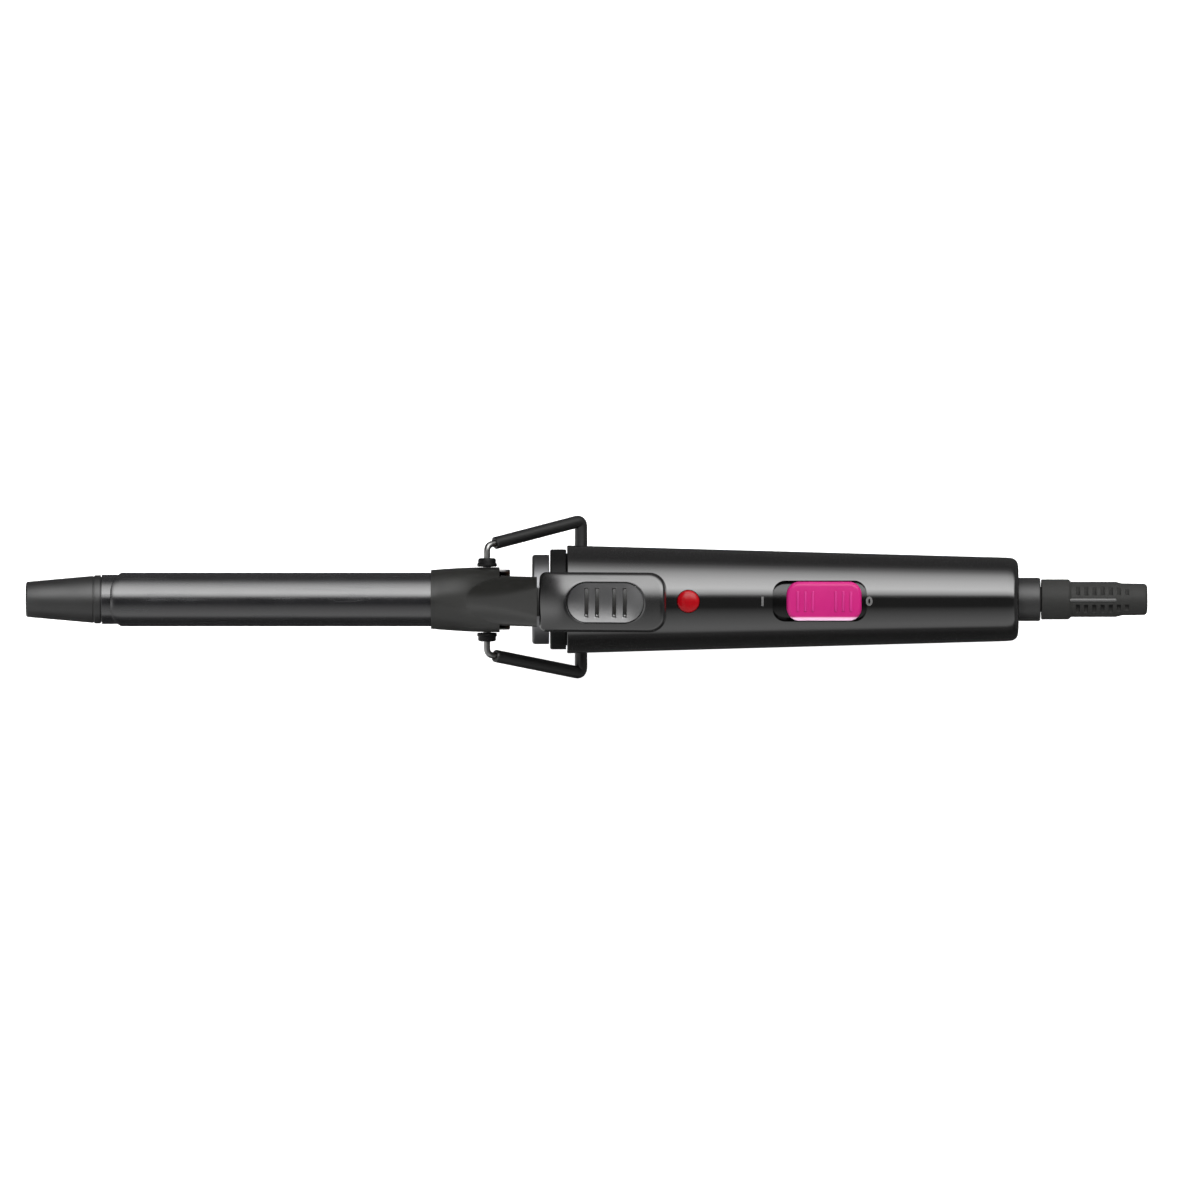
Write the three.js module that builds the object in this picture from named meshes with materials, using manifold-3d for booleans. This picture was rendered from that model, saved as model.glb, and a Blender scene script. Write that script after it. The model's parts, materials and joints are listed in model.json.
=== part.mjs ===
// Curling iron with a sprung hair clamp, a folding wire stand, a slide switch and a cord swivel.
// Millimetres, +Z up. The iron is drawn with its barrel axis along X, x = 0 at the tip and z = 0 on
// the axis, then tilted so that it lies on its folded stand and on the rear rim of its handle.
import * as THREE from "three";
import { mergeVertices } from "three/addons/utils/BufferGeometryUtils.js";
import Module from "manifold-3d";

const wasm = await Module();
wasm.setup();

// ---- driving dimensions ----
const TIP_LENGTH = 23.8;
const TIP_FRONT_R = 5.6;
const TIP_REAR_R = 7.7;
const BARREL_R = 7.85;
const BARREL_WALL = 0.5;
const BARREL_END = 152.5;
const PLATE_FRONT = 27;
const PLATE_END = 139;
const PLATE_INNER_R = 8;
const PLATE_OUTER_R = 8.6;
const PLATE_CORNER = 6.8;

const PIVOT_X = 146.4;
const PIVOT_Z = 3;
const LEVER_TRAVEL = THREE.MathUtils.degToRad(9);
const HOOD_FRONT = 128.6;
const HOOD_END = 150.4;
const HOOD_HALF = 10.2;
const HOOD_WALL = 0.6;
const NECK_HALF = 7.9;
const NECK_WALL = 0.9;
const NECK_END = 162.3;
const SPINE_START = 138.4;
const SPINE_START_Z = 10.5;
const SPINE_SLOPE = 0.535;
const PAD_FRONT = 162.6;
const PAD_LENGTH = 40.4;
const PAD_HALF = 9.45;
const PAD_THICKNESS = 5.4;
const PAD_TOP_WALL = 2;
const PAD_CROWN_R = 19;
const PAD_FRONT_Z = 24;
const TONGUE_HALF = 4.5;
const TONGUE_THICKNESS = 1;
const PAD_SLOPE = THREE.MathUtils.degToRad(8.5);
const GRIP_LENGTH = 24.2;
const GRIP_WIDTH = 12.4;
const GRIP_FRONT = 9.3;
const GRIP_DEPTH = 1.45;
const GRIP_GROOVE_XS = [-6.15, -2.75, 2.75, 6.15];

const EAR_FRONT = 143.4;
const EAR_END = 153.7;
const EAR_OUTER = 9.45;
const STEEL = 0.6;
const PIN_R = 1.2;
const HOLE_R = 1.45;
const BUSH_R = 3.15;
const BUSH_INNER_Y = 10.5;
const BUSH_OUTER_Y = 13.2;

const WIRE_R = 1;
const SLEEVE_R = 2;
const STAND_SHOULDER_Y = 17.3;
const STAND_CORNER = new THREE.Vector3(176.2, 24.3, -19.4);

const SLEEVE_TUBE_R = 7.2;
const COLLAR_FRONT = 160.7;
const COLLAR_R = 14.2;
const RING_FRONT = 166.4;
const RING_R = 15.9;
const HANDLE_FRONT = 171.8;
const HANDLE_END = 315;
const HANDLE_FRONT_R = 17.15;
const HANDLE_RIM_X = 311.5;
const HANDLE_RIM_R = 13.3;
const HANDLE_WALL = 2.25;
const SEAM_GAP = 0.15;
const GAP = 0.3;

const LENS_X = 210.2;
const LENS_R = 3.5;
const SLOT_FRONT = 236.9;
const SLOT_END = 266.7;
const SLOT_HALF = 6.5;
const SLOT_CORNER = 4;
const SLOT_FLOOR_R = 13.6;
const BUTTON_FRONT = 241.3;
const BUTTON_LENGTH = 23.8;
const BUTTON_WIDTH = 12.3;
const BUTTON_TOP_Z = 16.3;
const BUTTON_STEM_FRONT = 250.2;
const BUTTON_STEM_END = 257;
const SWITCH_TRAVEL = 3.6;
const SCREW_XS = [224, 282];

const NOSE_R = 6.9;
const NOSE_END = 322;
const ROOT_R = 6.4;
const ROOT_END = 331;
const RELIEF_R = 5.6;
const RELIEF_END = 356;
const CORD_BORE_R = 3.25;
const SLIP_RING_XS = [289, 298];

const ROUND = 24;
const SMALL_ROUND = 12;

// ---- materials ----
const paint = (color, roughness, metalness = 0) =>
  new THREE.MeshStandardMaterial({ color, roughness, metalness });
const GLOSS_BLACK = paint(0x131313, 0.2);
const SATIN_BLACK = paint(0x1a1a1a, 0.45);
const MATTE_BLACK = paint(0x202020, 0.7);
const CERAMIC_COAT = paint(0x232323, 0.3, 0.6);
const BLACK_PAINT = paint(0x181818, 0.4, 0.3);
const GRIP_GREY = paint(0x77787a, 0.5);
const STEEL_GREY = paint(0xb8b8b6, 0.3, 1);
const ALUMINIUM = paint(0xc8c9cb, 0.35, 1);
const BRASS = paint(0xc9a24b, 0.3, 1);
const RED_LENS = paint(0xb01020, 0.12);
const MAGENTA = paint(0xce2f81, 0.35);
const CERAMIC_GREY = paint(0x6c6a66, 0.8);
const INSULATOR_BROWN = paint(0x5b3a22, 0.6);
const LEAD_RED = paint(0x9c1c1c, 0.5);
const LEAD_BLUE = paint(0x22407c, 0.5);
const GLASS_CLEAR = paint(0xdfe3e6, 0.05);

// ---- solids: joining and cutting ----
function toSolid(geometry) {
  const bare = geometry.clone();
  bare.deleteAttribute("normal");
  bare.deleteAttribute("uv");
  const merged = mergeVertices(bare, 1e-4);
  const kept = [];
  const index = merged.index.array;
  for (let i = 0; i < index.length; i += 3) {
    const [a, b, c] = [index[i], index[i + 1], index[i + 2]];
    if (a !== b && b !== c && c !== a) kept.push(a, b, c);
  }
  const build = (triangles) =>
    new wasm.Manifold(
      new wasm.Mesh({
        numProp: 3,
        vertProperties: merged.attributes.position.array,
        triVerts: new Uint32Array(triangles),
      }),
    );
  const solid = build(kept);
  return solid.volume() < 0 ? build(kept.reverse()) : solid;
}

function toGeometry(solid) {
  const mesh = solid.getMesh();
  const geometry = new THREE.BufferGeometry();
  geometry.setAttribute("position", new THREE.BufferAttribute(mesh.vertProperties, 3));
  geometry.setIndex(new THREE.BufferAttribute(mesh.triVerts, 1));
  return geometry;
}

const iron = new THREE.Group();

function piece(name, solid, material) {
  const mesh = new THREE.Mesh(toGeometry(solid), material);
  mesh.name = name;
  iron.add(mesh);
}

const union = (solids) => solids.reduce((sum, solid) => sum.add(solid));
const cutAll = (solid, cutters) => cutters.reduce((left, cutter) => left.subtract(cutter), solid);

// ---- solids: basic shapes ----
// A profile of [x, radius] points, turned about the iron's own axis.
function turnedX(profile, segments = ROUND) {
  const points = profile.map(([x, r]) => new THREE.Vector2(r, x));
  return toSolid(new THREE.LatheGeometry(points, segments).rotateZ(-Math.PI / 2));
}

// A profile of [radius, y] points, turned about a line along Y through (x, z).
function turnedY(profile, x, z, segments = SMALL_ROUND) {
  const points = profile.map(([r, y]) => new THREE.Vector2(r, y));
  return toSolid(new THREE.LatheGeometry(points, segments).translate(x, 0, z));
}

// A profile of [radius, z] points, turned about a vertical line through (x, y).
function turnedZ(profile, x, y, segments = SMALL_ROUND) {
  const points = profile.map(([r, z]) => new THREE.Vector2(r, z));
  return toSolid(new THREE.LatheGeometry(points, segments).rotateX(Math.PI / 2).translate(x, y, 0));
}

function tubeX(outer, inner, x0, x1, segments = ROUND) {
  return turnedX([[x0, inner], [x0, outer], [x1, outer], [x1, inner], [x0, inner]], segments);
}

function barX(radius, x0, x1, y, z, segments = SMALL_ROUND) {
  return turnedX([[x0, 0], [x0, radius], [x1, radius], [x1, 0]], segments).translate([0, y, z]);
}

function rodY(radius, y0, y1, x, z, segments = SMALL_ROUND) {
  return turnedY([[0, y0], [radius, y0], [radius, y1], [0, y1]], x, z, segments);
}

function rodZ(radius, z0, z1, x, y, segments = SMALL_ROUND) {
  return turnedZ([[0, z0], [radius, z0], [radius, z1], [0, z1]], x, y, segments);
}

function block(x0, x1, y0, y1, z0, z1) {
  const box = new THREE.BoxGeometry(x1 - x0, y1 - y0, z1 - z0);
  return toSolid(box.translate((x0 + x1) / 2, (y0 + y1) / 2, (z0 + z1) / 2));
}

// A shape drawn in (y, z), extruded along X.
function extrudedX(shape, x0, x1, curveSegments = 12) {
  const turn = new THREE.Matrix4().makeBasis(
    new THREE.Vector3(0, 1, 0),
    new THREE.Vector3(0, 0, 1),
    new THREE.Vector3(1, 0, 0),
  );
  const options = { depth: x1 - x0, bevelEnabled: false, curveSegments };
  return toSolid(new THREE.ExtrudeGeometry(shape, options).applyMatrix4(turn).translate(x0, 0, 0));
}

// A shape drawn in (x, z), extruded along Y.
function extrudedY(shape, y0, y1, curveSegments = 6) {
  const options = { depth: y1 - y0, bevelEnabled: false, curveSegments };
  const turned = new THREE.ExtrudeGeometry(shape, options).rotateX(Math.PI / 2);
  return toSolid(turned.translate(0, y1, 0));
}

// A shape drawn in (x, y), extruded up, with its edges rounded by the bevel.
function extrudedZ(shape, z0, z1, bevel = 0, curveSegments = 6) {
  const options = {
    depth: z1 - z0 - 2 * bevel,
    bevelEnabled: bevel > 0,
    bevelThickness: bevel,
    bevelSize: bevel,
    bevelOffset: -bevel,
    bevelSegments: 2,
    curveSegments,
  };
  return toSolid(new THREE.ExtrudeGeometry(shape, options).translate(0, 0, z0 + bevel));
}

// A rectangle from (x0, -half) to (x1, half), with its own corner radius at each end.
function roundedRectangle(x0, x1, half, frontR, rearR) {
  const shape = new THREE.Shape();
  shape.moveTo(x0 + frontR, -half);
  shape.lineTo(x1 - rearR, -half);
  shape.absarc(x1 - rearR, -half + rearR, rearR, -Math.PI / 2, 0);
  shape.lineTo(x1, half - rearR);
  shape.absarc(x1 - rearR, half - rearR, rearR, 0, Math.PI / 2);
  shape.lineTo(x0 + frontR, half);
  shape.absarc(x0 + frontR, half - frontR, frontR, Math.PI / 2, Math.PI);
  shape.lineTo(x0, -half + frontR);
  shape.absarc(x0 + frontR, -half + frontR, frontR, Math.PI, 1.5 * Math.PI);
  return shape;
}

function circle(radius, x = 0, y = 0) {
  return new THREE.Shape().absarc(x, y, radius, 0, 2 * Math.PI);
}

// Straight runs joined by bends that begin and end a bend's length from each corner.
function bentPath(points, bend) {
  const path = new THREE.CurvePath();
  let from = points[0];
  for (let i = 1; i < points.length - 1; i++) {
    const corner = points[i];
    const enter = corner.clone().lerp(points[i - 1], bend / corner.distanceTo(points[i - 1]));
    const leave = corner.clone().lerp(points[i + 1], bend / corner.distanceTo(points[i + 1]));
    path.add(new THREE.LineCurve3(from, enter));
    path.add(new THREE.QuadraticBezierCurve3(enter, corner, leave));
    from = leave;
  }
  path.add(new THREE.LineCurve3(from, points[points.length - 1]));
  return path;
}

function swept(shape, path, steps, curveSegments) {
  return toSolid(new THREE.ExtrudeGeometry(shape, { extrudePath: path, steps, curveSegments }));
}

// Closed loops of equal length, joined one to the next and capped at both ends.
function lofted(loops) {
  const count = loops[0].length;
  const positions = loops.flat().flatMap((point) => point.toArray());
  const index = [];
  for (let i = 0; i < loops.length - 1; i++)
    for (let j = 0; j < count; j++) {
      const a = i * count + j;
      const b = i * count + ((j + 1) % count);
      index.push(a, b, b + count, a, b + count, a + count);
    }
  const outline = loops[0].map((point) => new THREE.Vector2(point.y, point.z));
  const last = (loops.length - 1) * count;
  const turning = Math.sign(THREE.ShapeUtils.area(outline));
  for (const triangle of THREE.ShapeUtils.triangulateShape(outline, [])) {
    const corners = triangle.map((i) => outline[i]);
    const [a, b, c] = Math.sign(THREE.ShapeUtils.area(corners)) === turning ? triangle : triangle.reverse();
    index.push(c, b, a);
    index.push(a + last, b + last, c + last);
  }
  const geometry = new THREE.BufferGeometry();
  geometry.setAttribute("position", new THREE.Float32BufferAttribute(positions, 3));
  geometry.setIndex(index);
  return toSolid(geometry);
}

// One cross-section of an arch: straight sides that stand on z = bottom, with rounded upper corners.
function arch(x, half, top, bottom, corner) {
  const arcSteps = 6;
  const right = [new THREE.Vector3(x, half, bottom)];
  for (let i = 0; i <= arcSteps; i++) {
    const angle = (i / arcSteps) * (Math.PI / 2);
    const y = half - corner + corner * Math.cos(angle);
    right.push(new THREE.Vector3(x, y, top - corner + corner * Math.sin(angle)));
  }
  const left = right.map((p) => new THREE.Vector3(x, -p.y, p.z));
  return [...right, ...left.reverse()];
}

// One cross-section of a pressed channel that opens downwards.
function channel(x, half, top, bottom, corner, wall) {
  const inside = arch(x, half - wall, top - wall, bottom, corner - wall);
  return [...arch(x, half, top, bottom, corner), ...inside.reverse()];
}

const handleR = (x) => {
  const along = (x - HANDLE_FRONT) / (HANDLE_RIM_X - HANDLE_FRONT);
  return THREE.MathUtils.lerp(HANDLE_FRONT_R, HANDLE_RIM_R, along);
};

// Turns a solid about the lever's pivot; a positive angle lifts the rear.
function aboutPivot(solid, angle) {
  const degrees = THREE.MathUtils.radToDeg(-angle);
  return solid
    .translate([-PIVOT_X, 0, -PIVOT_Z])
    .rotate([0, degrees, 0])
    .translate([PIVOT_X, 0, PIVOT_Z]);
}

// ---- barrel and what is in it ----
function makeTip() {
  const spigotR = BARREL_R - BARREL_WALL - 0.2;
  const spigotEnd = TIP_LENGTH + 9;
  const boreR = 4;
  const profile = [
    [0, 0],
    [0, TIP_FRONT_R - 0.6],
    [0.6, TIP_FRONT_R],
    [TIP_LENGTH, TIP_REAR_R],
    [TIP_LENGTH, spigotR],
    [spigotEnd, spigotR],
    [spigotEnd, boreR],
    [7, boreR],
    [6, 0],
  ];
  piece("cool_tip", turnedX(profile), SATIN_BLACK);
}

function makeBarrel() {
  const tube = tubeX(BARREL_R, BARREL_R - BARREL_WALL, TIP_LENGTH + GAP, BARREL_END);
  piece("barrel_tube", tube, CERAMIC_COAT);
}

function makeHeater() {
  const [front, end] = [58, 108];
  const radius = BARREL_R - BARREL_WALL - 0.35;
  const flat = 1.8;
  const bar = barX(radius, front, end, 0, 0, 24);
  const duct = barX(2.8, front - 1, end + 1, 0, 5.8);
  const upper = bar.intersect(block(front, end, -radius, radius, flat, radius)).subtract(duct);
  const heater = block(front + 2, end + 3, -5, 5, -flat + GAP, flat - GAP);
  piece("heat_spreader_upper", upper, ALUMINIUM);
  piece("heat_spreader_lower", upper.mirror([0, 0, 1]), ALUMINIUM);
  piece("ptc_heater", heater, CERAMIC_GREY);
}

function makeInsulator() {
  const bore = 5.6;
  const spigotR = BARREL_R - BARREL_WALL - 0.15;
  const tube = tubeX(SLEEVE_TUBE_R, bore, BARREL_END, 184);
  const spigot = tubeX(spigotR, bore, 142, BARREL_END + 1);
  const flange = tubeX(14.2, bore, 179, 181.5);
  piece("insulator_sleeve", union([tube, spigot, flange]), INSULATOR_BROWN);
}

// ---- clamp and lever ----
function makeClampPlate() {
  const section = new THREE.Shape();
  const edge = THREE.MathUtils.degToRad(6);
  section.absarc(0, 0, PLATE_OUTER_R, edge, Math.PI - edge);
  section.absarc(0, 0, PLATE_INNER_R, Math.PI - edge, edge, true);
  const half = PLATE_OUTER_R + 1;
  const plan = roundedRectangle(PLATE_FRONT, PLATE_END, half, PLATE_CORNER, 0.5);
  const plate = extrudedX(section, PLATE_FRONT - 1, PLATE_END + 1, 20);
  piece("clamp_plate", plate.intersect(extrudedZ(plan, -1, 12)), CERAMIC_COAT);
}

const spineTop = (x) => SPINE_START_Z + SPINE_SLOPE * (x - SPINE_START);
const padTopZ = (x) => PAD_FRONT_Z + (x - PAD_FRONT) * Math.tan(PAD_SLOPE);

function makeLeverArm() {
  const hoodShape = [
    [HOOD_FRONT, 9.35, 9.35, -0.2, 9.3],
    [131.5, 9.6, 9.75, -0.3, 9],
    [141, HOOD_HALF - 0.1, 11.5, -1, 8.2],
    [HOOD_END, HOOD_HALF, 14.6, -1, 7.6],
  ];
  const hood = lofted(hoodShape.map((station) => channel(...station, HOOD_WALL)));
  const hoodSpace = lofted(hoodShape.map(([x, half, top, bottom, corner]) =>
    arch(x, half - HOOD_WALL, top - HOOD_WALL, bottom - 1, corner - HOOD_WALL)));
  const spineShape = [
    [136.5, NECK_HALF - 0.6, spineTop(136.5), 2.4, 6.6],
    [145, NECK_HALF, spineTop(145), 6, 7.2],
    [HOOD_END, NECK_HALF, spineTop(HOOD_END), 6.5, 6.6],
    [153.5, NECK_HALF, spineTop(153.5), spineTop(153.5) - 6.2, 6],
    [158, NECK_HALF, spineTop(158), spineTop(158) - 5.2, 5],
    [NECK_END, NECK_HALF, spineTop(NECK_END), spineTop(NECK_END) - 4, 3.8],
  ];
  const spine = lofted(spineShape.map((station) => channel(...station, NECK_WALL))).subtract(hoodSpace);
  const [tongueFront, tongueEnd] = [159, 198];
  const tongueTop = (x) => padTopZ(x) - PAD_TOP_WALL - GAP;
  const side = new THREE.Shape();
  side.moveTo(tongueFront, tongueTop(tongueFront));
  side.lineTo(tongueEnd, tongueTop(tongueEnd));
  side.lineTo(tongueEnd, tongueTop(tongueEnd) - TONGUE_THICKNESS);
  side.lineTo(tongueFront, tongueTop(tongueFront) - TONGUE_THICKNESS);
  const tongue = extrudedY(side, -TONGUE_HALF, TONGUE_HALF);
  const holes = rodY(HOLE_R, -12, 12, PIVOT_X, PIVOT_Z);
  const arm = union([hood, spine, tongue]).subtract(holes);
  piece("lever_arm", arm, BLACK_PAINT);
}

// The pad is drawn level, with its front top edge at the origin, and then set on its slope.
function onPadSlope(solid) {
  const degrees = THREE.MathUtils.radToDeg(-PAD_SLOPE);
  return solid.rotate([0, degrees, 0]).translate([PAD_FRONT, 0, PAD_FRONT_Z]);
}

function makePad() {
  const [frontCorner, rearCorner, edge] = [2, 5.5, 1];
  const outline = roundedRectangle(0, PAD_LENGTH, PAD_HALF, frontCorner, rearCorner);
  const crown = barX(PAD_CROWN_R, -1, PAD_LENGTH + 1, 0, -PAD_CROWN_R, 72);
  const body = extrudedZ(outline, -PAD_THICKNESS, 0, edge, 4).intersect(crown);
  const pocketHalf = TONGUE_HALF + 0.7;
  const rearWall = 2.5;
  const pocket = block(-1, PAD_LENGTH - rearWall, -pocketHalf, pocketHalf, -PAD_THICKNESS - 1, -PAD_TOP_WALL);
  const gripPlan = roundedRectangle(
    GRIP_FRONT - GAP,
    GRIP_FRONT + GRIP_LENGTH + GAP,
    GRIP_WIDTH / 2 + GAP,
    GRIP_WIDTH / 2 + GAP - 0.01,
    GRIP_WIDTH / 2 + GAP - 0.01,
  );
  const dish = extrudedZ(gripPlan, -GRIP_DEPTH, 1);
  const clear = 0.5;
  const handleSpace = turnedX([
    [RING_FRONT - 6, 0],
    [RING_FRONT - 6, HANDLE_FRONT_R + clear],
    [HANDLE_FRONT, HANDLE_FRONT_R + clear],
    [HANDLE_RIM_X, HANDLE_RIM_R + clear],
    [HANDLE_RIM_X, 0],
  ], 32);
  const pad = onPadSlope(cutAll(body, [pocket, dish]));
  piece("thumb_pad", pad.subtract(aboutPivot(handleSpace, LEVER_TRAVEL)), SATIN_BLACK);
}

function makeGrip() {
  const half = GRIP_WIDTH / 2;
  const end = GRIP_FRONT + GRIP_LENGTH;
  const plan = roundedRectangle(GRIP_FRONT, end, half, half - 0.01, half - 0.01);
  const baseTop = -0.95;
  const base = extrudedZ(plan, -GRIP_DEPTH + GAP / 2, baseTop);
  const raised = { margin: 2.1, top: -0.45 };
  const raisedHalf = half - raised.margin;
  const raisedPlan = roundedRectangle(
    GRIP_FRONT + raised.margin,
    end - raised.margin,
    raisedHalf,
    raisedHalf - 0.01,
    raisedHalf - 0.01,
  );
  const groove = { half: 0.5, floor: -0.9 };
  const middle = GRIP_FRONT + GRIP_LENGTH / 2;
  const grooves = GRIP_GROOVE_XS.map((x) =>
    block(middle + x - groove.half, middle + x + groove.half, -half, half, groove.floor, 0));
  const grip = cutAll(base.add(extrudedZ(raisedPlan, baseTop - 0.1, raised.top)), grooves);
  piece("grip_insert", onPadSlope(grip), GRIP_GREY);
}

function makePadScrew() {
  const x = 31;
  const headR = 2;
  const headHeight = 0.4;
  const top = -PAD_TOP_WALL - GAP - TONGUE_THICKNESS - GAP / 2;
  const head = rodZ(headR, top - headHeight, top, x, 0);
  piece("pad_screw", onPadSlope(head), STEEL_GREY);
}

function makeSpring() {
  const turns = 5;
  const coilR = 2.9;
  const wire = 0.45;
  const x = 156.3;
  const foot = SLEEVE_TUBE_R + 0.8;
  const rise = spineTop(x - coilR) - NECK_WALL - 0.9 - foot;
  const points = [];
  for (let i = 0; i <= turns * 10; i++) {
    const angle = (i / 10) * 2 * Math.PI;
    const z = foot + (rise * i) / (turns * 10);
    points.push(new THREE.Vector3(x + coilR * Math.cos(angle), coilR * Math.sin(angle), z));
  }
  const helix = new THREE.CatmullRomCurve3(points);
  piece("lever_spring", swept(circle(wire), helix, turns * 11, 3), STEEL_GREY);
}

// ---- hinge and stand ----
function makeBracket() {
  const inner = BARREL_R + 0.2;
  const outer = inner + STEEL + 0.1;
  const start = THREE.MathUtils.degToRad(-15);
  const end = -Math.PI - start;
  const earTop = 5.2;
  const section = new THREE.Shape();
  section.moveTo(EAR_OUTER, earTop);
  section.lineTo(EAR_OUTER, -1.5);
  section.absarc(0, 0, outer, start, end, true);
  section.lineTo(-EAR_OUTER, -1.5);
  section.lineTo(-EAR_OUTER, earTop);
  section.lineTo(-EAR_OUTER + STEEL, earTop);
  section.lineTo(-EAR_OUTER + STEEL, -1);
  section.absarc(0, 0, inner, end, start);
  section.lineTo(EAR_OUTER - STEEL, -1);
  section.lineTo(EAR_OUTER - STEEL, earTop);
  const side = new THREE.Shape();
  side.moveTo(EAR_FRONT, -10);
  side.lineTo(EAR_FRONT, earTop - 2.4);
  side.absarc(EAR_FRONT + 2.4, earTop - 2.4, 2.4, Math.PI, Math.PI / 2, true);
  side.lineTo(EAR_END - 2.4, earTop);
  side.absarc(EAR_END - 2.4, earTop - 2.4, 2.4, Math.PI / 2, 0, true);
  side.lineTo(EAR_END, -10);
  const pressed = extrudedX(section, EAR_FRONT, EAR_END, 16).intersect(extrudedY(side, -12, 12));
  const holes = rodY(HOLE_R, -12, 12, PIVOT_X, PIVOT_Z);
  piece("hinge_bracket", pressed.subtract(holes), STEEL_GREY);
}

function makePivot(name, sign) {
  const headY = 8.1;
  const shaftY = 8.65;
  const tailY = 11.8;
  const pin = turnedY([[0, headY], [2, headY], [2, shaftY], [PIN_R, shaftY], [PIN_R, tailY], [0, tailY]],
    PIVOT_X, PIVOT_Z);
  const bush = turnedY([
    [HOLE_R, BUSH_INNER_Y],
    [BUSH_R, BUSH_INNER_Y],
    [BUSH_R, BUSH_OUTER_Y - 0.5],
    [BUSH_R - 0.5, BUSH_OUTER_Y],
    [HOLE_R, BUSH_OUTER_Y],
    [HOLE_R, BUSH_INNER_Y],
  ], PIVOT_X, PIVOT_Z, 20);
  const toSide = (solid) => (sign > 0 ? solid : solid.mirror([0, 1, 0]));
  piece(`pivot_pin_${name}`, toSide(pin), STEEL_GREY);
  piece(`stand_bush_${name}`, toSide(bush), MATTE_BLACK);
}

function makeStand() {
  const inBush = new THREE.Vector3(PIVOT_X, 12.1, PIVOT_Z);
  const shoulder = new THREE.Vector3(PIVOT_X, STAND_SHOULDER_Y, PIVOT_Z);
  const across = (point) => new THREE.Vector3(point.x, -point.y, point.z);
  const points = [inBush, shoulder, STAND_CORNER, across(STAND_CORNER), across(shoulder), across(inBush)];
  const wire = swept(circle(WIRE_R), bentPath(points, 2.2), 56, 4);
  piece("stand_wire", wire, STEEL_GREY);

  const ring = circle(SLEEVE_R);
  ring.holes.push(new THREE.Path().absarc(0, 0, WIRE_R + 0.2, 0, 2 * Math.PI));
  const leg = new THREE.LineCurve3(
    shoulder.clone().lerp(STAND_CORNER, 0.08),
    shoulder.clone().lerp(STAND_CORNER, 0.93),
  );
  const sleeve = swept(ring, leg, 1, 6);
  piece("stand_sleeve_left", sleeve, MATTE_BLACK);
  piece("stand_sleeve_right", sleeve.mirror([0, 1, 0]), MATTE_BLACK);
  const half = STAND_CORNER.y - 2.6;
  const bore = WIRE_R + 0.2;
  const cross = turnedY(
    [[bore, -half], [SLEEVE_R, -half], [SLEEVE_R, half], [bore, half], [bore, -half]],
    STAND_CORNER.x,
    STAND_CORNER.z,
    12,
  );
  piece("stand_sleeve_cross", cross, MATTE_BLACK);
}

// ---- handle ----
function makeCollars() {
  const bore = SLEEVE_TUBE_R + GAP;
  const collarEnd = RING_FRONT - GAP;
  const collar = turnedX([
    [COLLAR_FRONT, bore],
    [COLLAR_FRONT, COLLAR_R - 0.7],
    [COLLAR_FRONT + 0.7, COLLAR_R],
    [collarEnd, COLLAR_R],
    [collarEnd, COLLAR_R - 1.6],
    [COLLAR_FRONT + 1.8, COLLAR_R - 1.6],
    [COLLAR_FRONT + 1.8, bore],
    [COLLAR_FRONT, bore],
  ]);
  const spigotR = HANDLE_FRONT_R - HANDLE_WALL - GAP;
  const ringEnd = HANDLE_FRONT - GAP;
  const ring = turnedX([
    [RING_FRONT, bore],
    [RING_FRONT, RING_R - 0.5],
    [RING_FRONT + 0.5, RING_R],
    [ringEnd, RING_R],
    [ringEnd, spigotR],
    [ringEnd + 5.5, spigotR - 0.15],
    [ringEnd + 5.5, spigotR - 2],
    [RING_FRONT + 2, spigotR - 2],
    [RING_FRONT + 2, bore],
    [RING_FRONT, bore],
  ]);
  piece("front_collar", collar, GLOSS_BLACK);
  piece("collar_ring", ring, MATTE_BLACK);
}

function handleTube() {
  const inner = (x) => handleR(x) - HANDLE_WALL;
  const rib = { front: 305.8, end: 308.1, radius: 5.2 };
  const wallX = 311.8;
  const boreR = NOSE_R + GAP + 0.1;
  return turnedX([
    [HANDLE_FRONT, HANDLE_FRONT_R],
    [HANDLE_RIM_X, HANDLE_RIM_R],
    [HANDLE_END - 1.6, HANDLE_RIM_R - 0.6],
    [HANDLE_END - 0.5, HANDLE_RIM_R - 1.5],
    [HANDLE_END, HANDLE_RIM_R - 2.6],
    [HANDLE_END, boreR],
    [wallX, boreR],
    [wallX, HANDLE_RIM_R - HANDLE_WALL],
    [rib.end, inner(rib.end)],
    [rib.end, rib.radius],
    [rib.front, rib.radius],
    [rib.front, inner(rib.front)],
    [HANDLE_FRONT, inner(HANDLE_FRONT)],
    [HANDLE_FRONT, HANDLE_FRONT_R],
  ], 32);
}

function handleFilled() {
  return turnedX([
    [HANDLE_FRONT, 0],
    [HANDLE_FRONT, HANDLE_FRONT_R - 0.4],
    [HANDLE_RIM_X, HANDLE_RIM_R - 0.4],
    [HANDLE_RIM_X, 0],
  ], 32);
}

// A round bar along the iron's axis, which the switch button's recess and underside both follow.
const switchSaddle = (radius) => barX(radius, SLOT_FRONT - 5, SLOT_END + 5, 0, 0, 96);

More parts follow.
